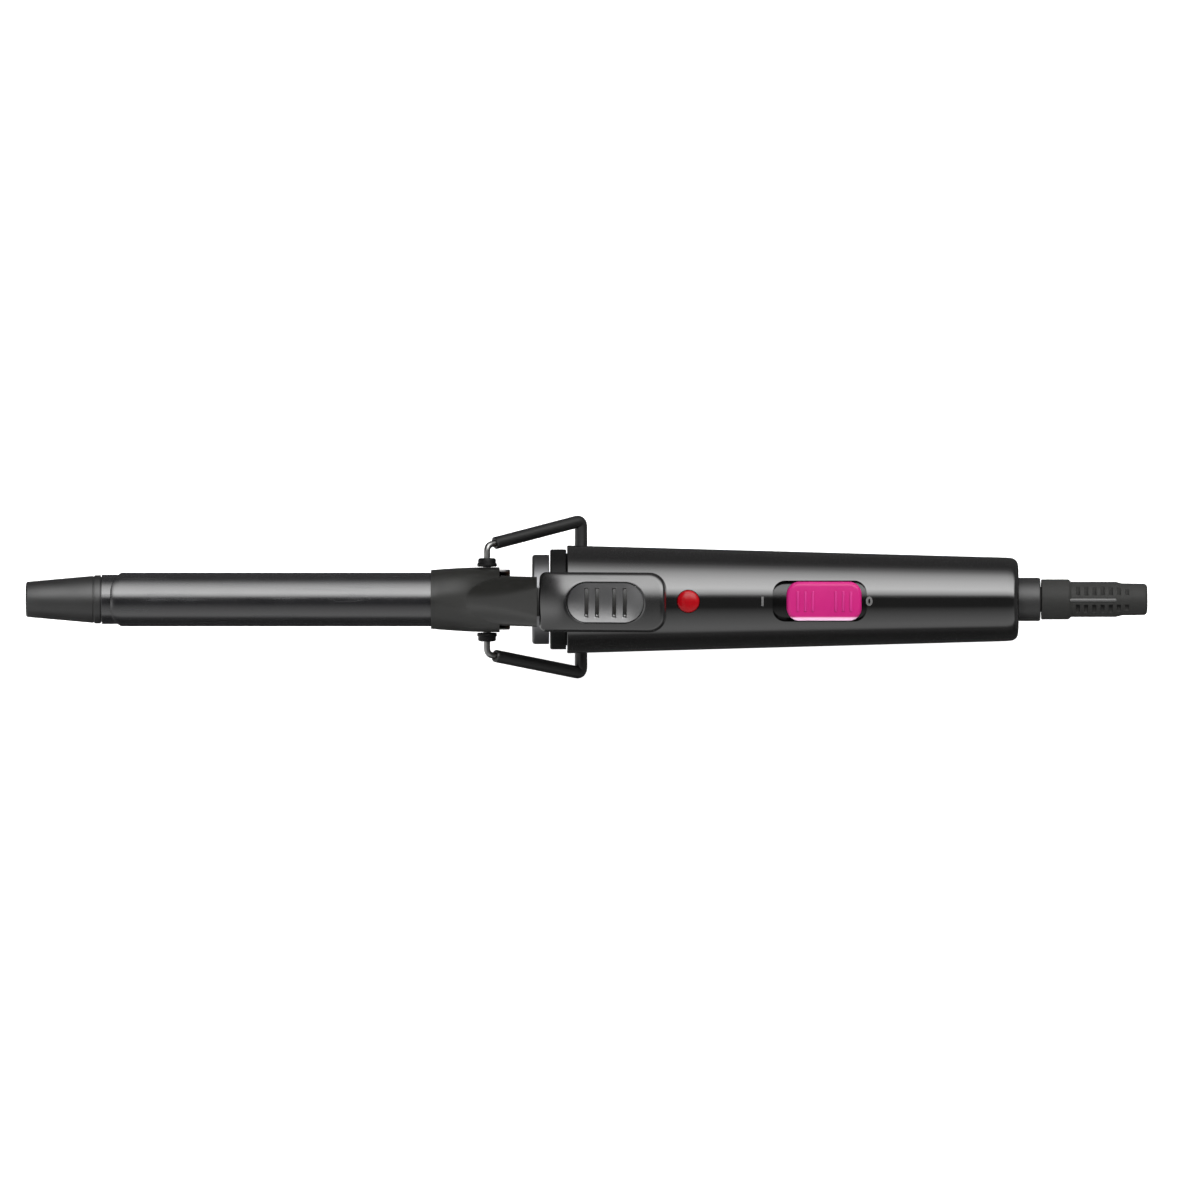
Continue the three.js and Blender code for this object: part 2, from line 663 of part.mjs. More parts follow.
function makeTopShell() {
  const half = block(HANDLE_FRONT - 1, HANDLE_END + 1, -20, 20, SEAM_GAP, 20);
  const seat = { margin: 2.5, half: 8.6, bottom: 10.8 };
  const switchSeat = block(
    SLOT_FRONT - seat.margin,
    SLOT_END + seat.margin,
    -seat.half,
    seat.half,
    seat.bottom,
    HANDLE_FRONT_R,
  );
  const bosses = SCREW_XS.map((x) => rodZ(2.9, 1, handleR(x) - 1, x, 0));
  const pilots = SCREW_XS.map((x) => rodZ(1.3, 0, 9, x, 0, 10));
  const pocketPlan = roundedRectangle(SLOT_FRONT, SLOT_END, SLOT_HALF, SLOT_CORNER, SLOT_CORNER);
  const pocket = extrudedZ(pocketPlan, seat.bottom, 20).subtract(switchSaddle(SLOT_FLOOR_R));
  const stemSlotFront = BUTTON_STEM_FRONT - SWITCH_TRAVEL - 2 * GAP;
  const stemSlot = block(stemSlotFront, BUTTON_STEM_END + 2 * GAP, -2, 2, 5, 20);
  const lensHole = rodZ(LENS_R + 0.2, 10, 20, LENS_X, 0, 24);
  const added = union([switchSeat, ...bosses]).intersect(handleFilled());
  const shell = union([handleTube().intersect(half), added]);
  piece("handle_top_shell", cutAll(shell, [pocket, stemSlot, lensHole, ...pilots]), GLOSS_BLACK);
}

function makeBottomShell() {
  const half = block(HANDLE_FRONT - 1, HANDLE_END + 1, -20, 20, -20, -SEAM_GAP);
  const bosses = SCREW_XS.map((x) => rodZ(2.9, -handleR(x) + 1, 0.7, x, 0));
  const added = union(bosses).intersect(handleFilled());
  const shell = union([handleTube().intersect(half), added]);
  const bores = SCREW_XS.map((x) => rodZ(1.7, -20, 2, x, 0, 12));
  const wells = SCREW_XS.map((x) => rodZ(2.5, -20, -handleR(x) + 4.2, x, 0));
  piece("handle_bottom_shell", cutAll(shell, [...bores, ...wells]), GLOSS_BLACK);
}

function makeScrews() {
  const names = ["front", "rear"];
  SCREW_XS.forEach((x, i) => {
    const seat = -handleR(x) + 4;
    const head = rodZ(2.2, seat - 1.5, seat, x, 0);
    const shank = rodZ(1.1, seat - 0.5, 7, x, 0, 10);
    const cross = union([
      block(x - 1.2, x + 1.2, -0.3, 0.3, seat - 2, seat - 0.9),
      block(x - 0.3, x + 0.3, -1.2, 1.2, seat - 2, seat - 0.9),
    ]);
    piece(`shell_screw_${names[i]}`, head.add(shank).subtract(cross), STEEL_GREY);
  });
}

// ---- switch and indicator ----
function makeSwitch() {
  const end = BUTTON_FRONT + BUTTON_LENGTH;
  const plan = roundedRectangle(BUTTON_FRONT, end, BUTTON_WIDTH / 2, SLOT_CORNER, SLOT_CORNER);
  const edge = 0.9;
  const filled = extrudedZ(plan, SLOT_FLOOR_R - 3, BUTTON_TOP_Z, edge, 4);
  const cap = filled.subtract(switchSaddle(SLOT_FLOOR_R + GAP));
  const rib = { groups: [247.3, 259.3], steps: [-2.4, 0, 2.4], half: 0.4, reach: 3.2, height: 0.35 };
  const ribs = rib.groups.flatMap((group) => rib.steps.map((step) => {
    const x = group + step;
    const bottom = BUTTON_TOP_Z - edge;
    return block(x - rib.half, x + rib.half, -rib.reach, rib.reach, bottom, BUTTON_TOP_Z + rib.height);
  }));
  const stem = block(BUTTON_STEM_FRONT, BUTTON_STEM_END, -1.6, 1.6, 7.4, SLOT_FLOOR_R + 1);
  piece("switch_button", union([cap, ...ribs, stem]), MAGENTA);

  const body = block(239, 265, -5.6, 5.6, -3.2, 6);
  const well = block(243.5, 260, -2.2, 2.2, 2, 7);
  piece("switch_body", body.subtract(well), MATTE_BLACK);
  const slider = union([block(250.6, 256.6, -1.8, 1.8, 3, 7), block(249.6, 257.6, -1.8, 1.8, 2.5, 4)]);
  piece("switch_slider", slider, GLASS_CLEAR);
  piece("switch_terminal_load", block(242, 243, -2.5, 2.5, -9, -3.5), BRASS);
  piece("switch_terminal_live", block(261, 262, -2.5, 2.5, -9, -3.5), BRASS);
}

function makeIndicator() {
  const top = handleR(LENS_X);
  const dome = [[0, top + 1.2]];
  for (const degrees of [65, 45, 25, 5]) {
    const angle = THREE.MathUtils.degToRad(degrees);
    dome.push([LENS_R * Math.cos(angle), top - 0.1 + 1.3 * Math.sin(angle)]);
  }
  const profile = [...dome, [LENS_R, 12.8], [4.3, 12.8], [4.3, 11.9], [0, 11.9]];
  piece("indicator_lens", turnedZ(profile, LENS_X, 0, 24), RED_LENS);
  piece("neon_lamp", turnedZ([[0, 11.2], [1.6, 10.4], [2, 9], [2, 3], [0, 3]], LENS_X, 0, 12), GLASS_CLEAR);
  piece("lamp_resistor", barX(1.2, 213, 219, 6.5, 2, 10), CERAMIC_GREY);
}

// ---- wiring ----
function lead(name, points, material) {
  const curve = new THREE.CatmullRomCurve3(points.map(([x, y, z]) => new THREE.Vector3(x, y, z)));
  piece(name, swept(circle(0.8), curve, Math.ceil(curve.getLength() / 5), 3), material);
}

function makeWiring() {
  piece("thermal_fuse", barX(1.9, 190, 201, -5, 0, 12), ALUMINIUM);
  lead("lead_heater_load", [[112, 3, 0], [150, 3, 0], [185, 3, -1], [215, 5, -6], [236, 4, -8], [241, 0, -8]],
    LEAD_RED);
  lead("lead_heater_neutral", [[112, -3, 0], [150, -3, 0], [178, -3.5, 0], [189.5, -5, 0]], LEAD_BLUE);
  lead("lead_fuse_brush", [[201.5, -5, 0], [222, -6.5, -2], [240, -7.5, -4], [278, -7, -4], [284, -5, -5.5]],
    LEAD_BLUE);
  lead("lead_switch_brush", [[263, 0, -8], [268, 4, -8], [280, 6, -5], [286, 6.5, -2], [291, 6.6, 2]],
    LEAD_RED);
}

// ---- cord swivel ----
function makeSwivel() {
  const bore = 4.3;
  const flange = { front: 308.5, end: 311.5, radius: 9.2 };
  const nose = turnedX([
    [flange.front, bore],
    [flange.front, flange.radius],
    [flange.end, flange.radius],
    [flange.end, NOSE_R],
    [NOSE_END - 0.4, NOSE_R],
    [NOSE_END, NOSE_R - 0.4],
    [NOSE_END, bore],
    [flange.front, bore],
  ], 28);
  const core = turnedX([
    [285.5, 2.2],
    [285.5, 4],
    [294, 4],
    [294, 5],
    [295.6, 5],
    [295.6, 4],
    [315, 4],
    [315, 2.2],
    [285.5, 2.2],
  ], 20);
  piece("swivel_nose", nose, MATTE_BLACK);
  piece("swivel_core", core, INSULATOR_BROWN);
  const names = ["live", "neutral"];
  SLIP_RING_XS.forEach((x, i) => {
    piece(`slip_ring_${names[1 - i]}`, tubeX(5.2, 4.3, x, x + 3.4, 20), BRASS);
  });
  piece("contact_brush_neutral", block(285, 292, -1.5, 1.5, -6.1, -5.6), BRASS);
  piece("contact_brush_live", block(292, 301, 6.0, 6.5, -1.5, 1.5), BRASS);
}

function makeRelief() {
  const plug = { front: 317, radius: 4 };
  const body = turnedX([
    [plug.front, CORD_BORE_R],
    [plug.front, plug.radius],
    [NOSE_END + GAP, plug.radius],
    [NOSE_END + GAP, ROOT_R],
    [ROOT_END - 0.4, ROOT_R],
    [ROOT_END + 0.4, RELIEF_R],
    [346, RELIEF_R],
    [348, 5.1],
    [RELIEF_END - 1, 5],
    [RELIEF_END, 4.2],
    [RELIEF_END, CORD_BORE_R],
    [plug.front, CORD_BORE_R],
  ], 24);
  const beads = [-1, 1].map((face) => barX(0.55, ROOT_END - 2, 346, 0, face * (RELIEF_R - 0.1), 8));
  const slot = { count: 7, front: 333.2, pitch: 2.6, width: 1.3, near: 1.5, far: 4.6, floor: 3.7 };
  const slots = [];
  for (let i = 0; i < slot.count; i++)
    for (const side of [-1, 1])
      for (const face of [-1, 1]) {
        const x = slot.front + i * slot.pitch;
        const y = side > 0 ? slot.near : -slot.far;
        const z = face > 0 ? slot.floor : -slot.floor - 4;
        slots.push(block(x, x + slot.width, y, y + slot.far - slot.near, z, z + 4));
      }
  piece("strain_relief", cutAll(union([body, ...beads]), slots), MATTE_BLACK);
}

makeTip();
makeBarrel();
makeHeater();
makeInsulator();
makeClampPlate();
makeLeverArm();
makePad();
makeGrip();
makePadScrew();
makeSpring();
makeBracket();
makePivot("left", 1);
makePivot("right", -1);
makeStand();
makeCollars();
makeTopShell();
makeBottomShell();
makeScrews();
makeSwitch();
makeIndicator();
makeWiring();
makeSwivel();
makeRelief();

// ---- rest attitude ----
// The iron lies on the underside of the stand's crossbar and on the rear rim of the handle.
const run = HANDLE_RIM_X - STAND_CORNER.x;
const rise = -HANDLE_RIM_R - (STAND_CORNER.z - SLEEVE_R);
iron.rotation.y = Math.atan2(rise, run);
iron.updateMatrixWorld(true);
const extent = new THREE.Box3().setFromObject(iron, true);
const middle = extent.getCenter(new THREE.Vector3());
iron.position.set(-middle.x, -middle.y, -extent.min.z);

const curlingIron = new THREE.Group();
curlingIron.add(iron);

export default curlingIron;
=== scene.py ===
import json
import math

import bmesh
import bpy
from mathutils import Matrix, Vector


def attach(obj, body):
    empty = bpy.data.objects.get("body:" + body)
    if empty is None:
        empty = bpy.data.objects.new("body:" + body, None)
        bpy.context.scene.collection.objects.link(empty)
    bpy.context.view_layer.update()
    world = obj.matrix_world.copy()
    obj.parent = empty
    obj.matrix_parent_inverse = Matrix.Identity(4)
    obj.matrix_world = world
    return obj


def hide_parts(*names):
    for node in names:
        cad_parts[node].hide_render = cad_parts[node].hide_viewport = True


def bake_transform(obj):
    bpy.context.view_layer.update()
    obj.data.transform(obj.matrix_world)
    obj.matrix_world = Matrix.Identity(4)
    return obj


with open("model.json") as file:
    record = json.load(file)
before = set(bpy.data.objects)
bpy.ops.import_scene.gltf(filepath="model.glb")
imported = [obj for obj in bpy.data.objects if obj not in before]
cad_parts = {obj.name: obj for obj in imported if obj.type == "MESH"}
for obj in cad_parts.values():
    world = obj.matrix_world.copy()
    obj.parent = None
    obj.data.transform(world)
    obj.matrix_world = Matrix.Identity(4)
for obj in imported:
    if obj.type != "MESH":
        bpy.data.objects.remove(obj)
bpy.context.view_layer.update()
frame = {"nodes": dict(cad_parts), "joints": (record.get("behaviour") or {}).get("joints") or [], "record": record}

RECORD_JOINTS = {joint["name"]: joint for joint in frame["joints"]}
AXIS = Vector(RECORD_JOINTS["cord_turn"]["axis"])
TILT = math.atan2(-AXIS.z, AXIS.x)
PIVOT = Vector((146.4, 0, 3))
MM = 0.001
TO_ROW = (
    Matrix.Translation(Vector(RECORD_JOINTS["clamp_hinge"]["pos_m"]))
    @ Matrix.Rotation(TILT, 4, "Y")
    @ Matrix.Scale(MM, 4)
    @ Matrix.Translation(-PIVOT)
)
LEVER_TRAVEL = math.radians(RECORD_JOINTS["clamp_hinge"]["range_deg"][1])


def row(x, y, z):
    """A point of the iron's own frame, in the row frame."""
    return TO_ROW @ Vector((x, y, z))


def in_scene(name, data):
    """A new object of this data, linked to the scene."""
    thing = bpy.data.objects.new(name, data)
    bpy.context.scene.collection.objects.link(thing)
    return thing


# ---- driving dimensions, in millimetres ----
TIP_LENGTH = 23.8
TIP_FRONT_R = 5.6
TIP_REAR_R = 7.7
BARREL_R = 7.85
BARREL_END = 152.5
BARREL_WALL = 0.5
PLATE_FRONT = 27
PLATE_END = 139
PLATE_INNER_R = 8
PLATE_OUTER_R = 8.6
PLATE_CORNER = 6.8
HOOD_FRONT = 128.6
HOOD_END = 150.4
HOOD_WALL = 0.6
ARCH_SPACING = 0.8
NECK_HALF = 7.9
NECK_WALL = 0.9
NECK_END = 162.3
SPINE_START = 138.4
SPINE_START_Z = 10.5
SPINE_SLOPE = 0.535
PAD_FRONT = 162.6
PAD_FRONT_Z = 24
PAD_SLOPE = math.radians(8.5)
PAD_LENGTH = 40.4
PAD_HALF = 9.45
PAD_CORNERS = (2, 5.5)
PAD_THICKNESS = 5.4
PAD_TOP_WALL = 2
PAD_CROWN_R = 19
PAD_ROLL = 9
PAD_ROLL_FALL = 0.9
PAD_RUNS = 16
GRIP_LENGTH = 24.2
GRIP_HALF = 6.2
GRIP_FRONT = 9.3
GRIP_RIM = 1.0
GRIP_BOTTOM = 1.9
GRIP_BOTTOM_Y = 1
GRIP_GROOVE_XS = (-6.15, -2.75, 2.75, 6.15)
EAR_FRONT = 143.4
EAR_END = 153.7
EAR_OUTER = 9.45
EAR_TOP = 5.2
STEEL = 0.6
HOLE_R = 1.45
HOLE_REACH = 12
BUSH_R = 3.15
BUSH_INNER_Y = 10.5
BUSH_OUTER_Y = 13.2
WIRE_R = 1
SLEEVE_R = 2
SHOULDER_Y = 17.3
STAND_CORNER = Vector((176.2, 24.3, -19.4))
SLEEVE_TUBE_R = 7.2
SLEEVE_TUBE_BORE_R = 5.6
SLEEVE_TUBE_FRONT = 142
SLEEVE_TUBE_END = 184
COLLAR_FRONT = 160.7
COLLAR_R = 14.2
RING_FRONT = 166.4
RING_R = 15.9
HANDLE_FRONT = 171.8
HANDLE_END = 315
HANDLE_FRONT_R = 17.15
HANDLE_RIM_X = 311.5
HANDLE_RIM_R = 13.3
HANDLE_WALL = 2.25
SEAM_GAP = 0.15
GAP = 0.3
WELD = 1e-4
# A height beyond the handle's surface, and a pitch that leaves straight runs whole.
BEYOND = 20
WHOLE = 200
LENS_X = 210.2
LENS_R = 3.5
SLOT_FRONT = 236.9
SLOT_END = 266.7
SLOT_HALF = 6.5
SLOT_CORNER = 4
SLOT_FLOOR_R = 13.6
BUTTON_FRONT = 241.3
BUTTON_LENGTH = 23.8
BUTTON_HALF = 6.15
BUTTON_TOP_Z = 16.3
STEM_FRONT = 250.2
STEM_END = 257
STEM_HALF = 1.6
STEM_SLOT_FRONT = 246
STEM_SLOT_END = 257.6
STEM_SLOT_HALF = 2
SCREW_XS = (224, 282)
SCREW_SUNK = 4
BOSS_R = 2.9
NOSE_R = 6.9
NOSE_END = 322
ROOT_R = 6.4
ROOT_END = 331
RELIEF_R = 5.6
RELIEF_END = 356
CORD_BORE_R = 3.25


def handle_r(x):
    along = (x - HANDLE_FRONT) / (HANDLE_RIM_X - HANDLE_FRONT)
    return HANDLE_FRONT_R + (HANDLE_RIM_R - HANDLE_FRONT_R) * along


def spine_top(x):
    return SPINE_START_Z + SPINE_SLOPE * (x - SPINE_START)


# ---- camera ----
LENS_MM = 500
SENSOR_MM = 36
VIEW_WIDTH = 381
VIEW_MIDDLE = Vector((182.25, -0.2, 0))
VIEW_LEAN = math.radians(2.3)


def make_camera():
    """Down on the iron's axis from a little to its +Y side, with the tip at the left."""
    distance = VIEW_WIDTH * LENS_MM / SENSOR_MM
    data = bpy.data.cameras.new("camera")
    data.lens = LENS_MM
    data.sensor_width = SENSOR_MM
    data.clip_start = 0.01
    data.clip_end = 50
    camera = in_scene("camera", data)
    spot = row(
        VIEW_MIDDLE.x,
        VIEW_MIDDLE.y + distance * math.sin(VIEW_LEAN),
        distance * math.cos(VIEW_LEAN),
    )
    turn = Matrix.Rotation(TILT, 4, "Y") @ Matrix.Rotation(-VIEW_LEAN, 4, "X")
    camera.matrix_world = Matrix.Translation(spot) @ turn
    bpy.context.scene.camera = camera
    bpy.context.scene.view_settings.view_transform = "Standard"


# ---- materials ----
class Nodes:
    """Short names for building one node tree."""

    def __init__(self, tree):
        self.tree = tree

    def add(self, kind, inputs=None, **settings):
        node = self.tree.nodes.new("ShaderNode" + kind)
        for name, value in settings.items():
            setattr(node, name, value)
        for key, value in (inputs or {}).items():
            if isinstance(value, bpy.types.NodeSocket):
                self.tree.links.new(value, node.inputs[key])
            else:
                node.inputs[key].default_value = value
        return node

    def noise(self, vector, scale, detail=4, stretch=(1, 1, 1)):
        """Noise of about -1 to 1, with a given number of cells in a metre."""
        mapping = self.add("Mapping", {"Vector": vector, "Scale": stretch})
        inputs = {"Vector": mapping.outputs[0], "Scale": scale, "Detail": detail}
        texture = self.add("TexNoise", inputs)
        return self.spread(texture.outputs["Fac"], 0.25, 0.75, -1, 1)

    def spread(self, value, low, high, to_low=0, to_high=1, kind="LINEAR"):
        inputs = {"Value": value, "From Min": low, "From Max": high, "To Min": to_low, "To Max": to_high}
        return self.add("MapRange", inputs, interpolation_type=kind).outputs["Result"]

    def blend(self, factor, a, b, kind="FLOAT"):
        return self.add("Mix", {"Factor": factor, "A": a, "B": b}, data_type=kind).outputs["Result"]

    def math(self, operation, a, b=0.0, c=0.0):
        return self.add("Math", {0: a, 1: b, 2: c}, operation=operation).outputs[0]


def set_inputs(node, values):
    """Constants straight on a node's sockets."""
    for name, value in values.items():
        node.inputs[name].default_value = value


MATERIALS = {}
CLOUDS_PER_METRE = 90
MARKS_PER_METRE = 700
MARK_STRETCH = (0.03, 1, 1)
BRUSHED = (0.04, 1, 1)


def surface(name, color, roughness, **look):
    """A procedural finish: grain in the bump, cloudy and scratched roughness, slight colour change.

    grain and depth are the moulded or brushed texture's size and height in millimetres, stretch draws
    it out along an axis, cloud is how far roughness wanders, shade is how far the colour does, and
    scratches is how strong the fine handling marks along the piece are. pale_side is a
    painted highlight, a paler colour blended in towards one side: the y where it starts, the y where
    it is full, and its colour."""
    material = bpy.data.materials.new(name)
    material.use_nodes = True
    tree = material.node_tree
    bsdf = tree.nodes["Principled BSDF"]
    nodes = Nodes(tree)
    where = nodes.add("TexCoord").outputs["Object"]
    grain = look.get("grain", 0.25)
    depth = look.get("depth", 0.004)
    cloud = nodes.noise(where, CLOUDS_PER_METRE, 5)
    fine = nodes.noise(where, 1 / (grain * MM), 3, look.get("stretch", (1, 1, 1)))
    marks = nodes.noise(where, MARKS_PER_METRE, 2, MARK_STRETCH)
    marks = nodes.math("MAXIMUM", nodes.spread(marks, 0.35, 0.8), 0.0)
    rough = nodes.math("MULTIPLY_ADD", cloud, look.get("cloud", 0.03), roughness)
    worn = nodes.math("MULTIPLY_ADD", marks, look.get("scratches", 0.03), rough)
    tree.links.new(nodes.spread(worn, 0, 1), bsdf.inputs["Roughness"])
    shade = look.get("shade", 0.08)
    pale = tuple(min(1, c * (1 + shade) + 0.002 * shade) for c in color) + (1,)
    deep = tuple(c * (1 - shade) for c in color) + (1,)
    tint = nodes.blend(nodes.spread(cloud, -1, 1), deep, pale, "RGBA")
    # Painted highlight: a paler colour blended over the base colour towards one side, standing in for light that
    # catches that edge.
    if "pale_side" in look:
        start, full, highlight_color = look["pale_side"]
        across = nodes.add("SeparateXYZ", {"Vector": where}).outputs["Y"]
        highlight_amount = nodes.spread(across, start * MM, full * MM)
        tint = nodes.blend(highlight_amount, tint, highlight_color + (1,), "RGBA")
    tree.links.new(tint, bsdf.inputs["Base Color"])
    bump = nodes.add("Bump", {"Height": fine, "Strength": 1.0, "Distance": depth * MM})
    tree.links.new(bump.outputs[0], bsdf.inputs["Normal"])
    set_inputs(bsdf, {
        "Metallic": look.get("metallic", 0),
        "IOR": look.get("ior", 1.5),
        "Transmission Weight": look.get("clear", 0),
        "Emission Color": look.get("glow", (0, 0, 0)) + (1,),
        "Emission Strength": 1,
    })
    MATERIALS[name] = material


surface("gloss_black", (0.004, 0.004, 0.004), 0.1, ior=1.75, grain=0.9, depth=0.0004, cloud=0.015,
        scratches=0.05)
surface("pad_black", (0.005, 0.005, 0.005), 0.2, ior=1.75, grain=0.3, depth=0.001, cloud=0.03,
        scratches=0.05)
surface("satin_black", (0.006, 0.006, 0.006), 0.42, ior=1.6, grain=0.3, depth=0.006)
surface("matte_black", (0.003, 0.003, 0.003), 0.42, ior=1.25, grain=0.35, depth=0.012)
surface("collar_grey", (0.16, 0.16, 0.165), 0.42, metallic=1, grain=0.3, depth=0.001, stretch=(1, 0.2, 0.2))
surface("sleeve_black", (0.006, 0.006, 0.006), 0.38, grain=0.5, depth=0.006, stretch=(0.3, 1, 1))
surface("tip_plastic", (0.007, 0.007, 0.007), 0.44, ior=1.58, grain=0.3, depth=0.008)
surface("swivel_black", (0.012, 0.012, 0.012), 0.45, grain=0.35, depth=0.01)
surface("ceramic_coat", (0.008, 0.008, 0.009), 0.2, ior=1.75, grain=0.12, depth=0.0015,
        stretch=(0.15, 1, 1), scratches=0.1, cloud=0.04)
surface("lever_paint", (0.009, 0.009, 0.008), 0.34, ior=1.5, grain=0.12, depth=0.002, stretch=(0.06, 1, 1),
        scratches=0.1)
surface("grip_grey", (0.018, 0.018, 0.019), 0.3, ior=2.0, grain=0.25, depth=0.003)
surface("steel", (0.2, 0.2, 0.196), 0.3, metallic=1, grain=0.15, depth=0.001, stretch=BRUSHED)
surface("aluminium", (0.75, 0.75, 0.76), 0.35, metallic=1, grain=0.2, depth=0.002)
surface("brass", (0.7, 0.52, 0.22), 0.32, metallic=1, grain=0.2, depth=0.002, stretch=BRUSHED)
surface("ptc_ceramic", (0.2, 0.19, 0.18), 0.75, grain=0.3, depth=0.02)
surface("insulator", (0.12, 0.06, 0.03), 0.55, grain=0.3, depth=0.008)
surface("red_lens", (0.27, 0.002, 0.005), 0.24, ior=1.3, grain=0.8, depth=0.0006, glow=(0.02, 0, 0.0005))
# The button's -Y rim gets a painted highlight, a near-white pink band, for the light on its lower edge.
surface("magenta", (0.39, 0.008, 0.13), 0.38, ior=1.34, grain=0.25, depth=0.002, shade=0.04,
        pale_side=(-4.8, -5.5, (1, 0.62, 0.84)))
# A paler magenta for the switch ribs: painted highlight along the raised ribs.
surface("magenta_painted_highlight", (0.42, 0.014, 0.16), 0.42, ior=1.4, grain=0.2, depth=0.004)
# A darker, less glossy black for the switch recess's faces: painted shade inside the recess.
surface("recess_painted_shade", (0.002, 0.002, 0.002), 0.16, ior=1.42, grain=0.3, depth=0.003)
surface("clear_plastic", (0.8, 0.8, 0.78), 0.15, clear=0.5, grain=0.5, depth=0.001)
surface("lamp_glass", (0.9, 0.9, 0.92), 0.05, clear=0.9, grain=0.5, depth=0.0005)
surface("lead_red", (0.35, 0.02, 0.02), 0.45, grain=0.4, depth=0.003)
surface("lead_blue", (0.02, 0.06, 0.25), 0.45, grain=0.4, depth=0.003)
surface("relief_rubber", (0.02, 0.02, 0.019), 0.62, ior=1.3, grain=0.25, depth=0.012)
# A paler, glossier rubber for the boot's beads: the lighter colour is a painted highlight along them, the lower
# roughness is real gloss.
surface("rubber_painted_highlight", (0.07, 0.07, 0.069), 0.4, ior=1.5, grain=0.2, depth=0.006)
surface("mark_grey", (0.09, 0.09, 0.09), 0.5, grain=0.2, depth=0.001)


# ---- mesh tools ----
def place(name, mesh, look, body, nodes=(), sharp=32):
    """Turns a mesh drawn in millimetres into a finished piece that rides on a body.

    It replaces the CAD nodes, its edges steeper than sharp degrees stay hard, and its one slot holds
    the material named after its look."""
    mesh.transform(TO_ROW)
    work = bmesh.new()
    work.from_mesh(mesh)
    bmesh.ops.remove_doubles(work, verts=work.verts, dist=WELD * MM)
    bmesh.ops.recalc_face_normals(work, faces=work.faces)
    for face in work.faces:
        face.smooth = True
        face.material_index = 0
    for edge in work.edges:
        edge.smooth = edge.calc_face_angle(0) < math.radians(sharp)
    work.to_mesh(mesh)
    work.free()
    mesh.materials.clear()
    mesh.materials.append(MATERIALS[look])
    piece = in_scene(name, mesh)
    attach(piece, body)
    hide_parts(*nodes)
    return piece


def mesh_of(verts, faces):
    mesh = bpy.data.meshes.new("shape")
    mesh.from_pydata([tuple(v) for v in verts], [], faces)
    return mesh


def loft(loops, closed=False):
    """Joins loops of equal length one to the next, and caps both ends or closes the chain."""
    count = len(loops[0])
    verts = [point for loop in loops for point in loop]
    faces = []
    last = len(loops) if closed else len(loops) - 1
    for i in range(last):
        a = i * count
        b = ((i + 1) % len(loops)) * count
        for j in range(count):
            k = (j + 1) % count
            faces.append((a + j, a + k, b + k, b + j))
    if not closed:
        faces.append(tuple(range(count)))
        faces.append(tuple(range(len(verts) - count, len(verts))))
    return mesh_of(verts, faces)


def ring(axis, along, radius, segments, centre=(0, 0)):
    """A loop of points around a line along x, y or z through centre."""
    u, v = centre
    points = []
    for i in range(segments):
        angle = 2 * math.pi * i / segments
        a = u + radius * math.cos(angle)
        b = v + radius * math.sin(angle)
        points.append({"x": (along, a, b), "y": (a, along, b), "z": (a, b, along)}[axis])
    return points


def rounded(corners, steps=4):
    """An open outline whose corners (a, b, radius) become arcs."""
    points = []
    for i, (a, b, radius) in enumerate(corners):
        here = Vector((a, b))
        if radius == 0 or i in (0, len(corners) - 1):
            points.append(here)
            continue
        before = Vector(corners[i - 1][:2]) - here
        after = Vector(corners[i + 1][:2]) - here
        half = before.angle(after) / 2
        back = radius / math.tan(half)
        middle = here + (before.normalized() + after.normalized()).normalized() * radius / math.sin(half)
        start = here + before.normalized() * back - middle
        end = here + after.normalized() * back - middle
        for step in range(steps + 1):
            mixed = start.lerp(end, step / steps)
            points.append(middle + mixed.normalized() * radius)
    return points


def turned(profile, segments=96, axis="x", centre=(0, 0), pitch=6):
    """A profile of (along, radius, corner radius), turned about a line; a zero radius closes an end."""
    points = rounded(profile)
    filled = [points[0]]
    for point in points[1:]:
        cuts = max(1, math.ceil((point - filled[-1]).length / pitch))
        start = filled[-1]
        filled += [start.lerp(point, (i + 1) / cuts) for i in range(cuts)]
    closed = (filled[0] - filled[-1]).length < 1e-6
    if closed:
        filled.pop()
    loops = [ring(axis, p.x, max(p.y, 0.001), segments, centre) for p in filled]
    return loft(loops, closed)


def bar(start, end, radius, edge=0.0):
    """The profile of a plain round bar, for turned."""
    return [(start, 0, 0), (start, radius, edge), (end, radius, edge), (end, 0, 0)]


def tube(outer, inner, x0, x1):
    middle = (outer + inner) / 2
    edge = 0.1
    corners = ((x0, outer), (x1, outer), (x1, inner), (x0, inner))
    return turned([(x0, middle, 0), *[(x, radius, edge) for x, radius in corners], (x0, middle, 0)])


def block(x0, x1, y0, y1, z0, z1):
    low = [(x0, y0, z0), (x1, y0, z0), (x1, y1, z0), (x0, y1, z0)]
    high = [(x, y, z1) for x, y, _ in low]
    return loft([low, high])


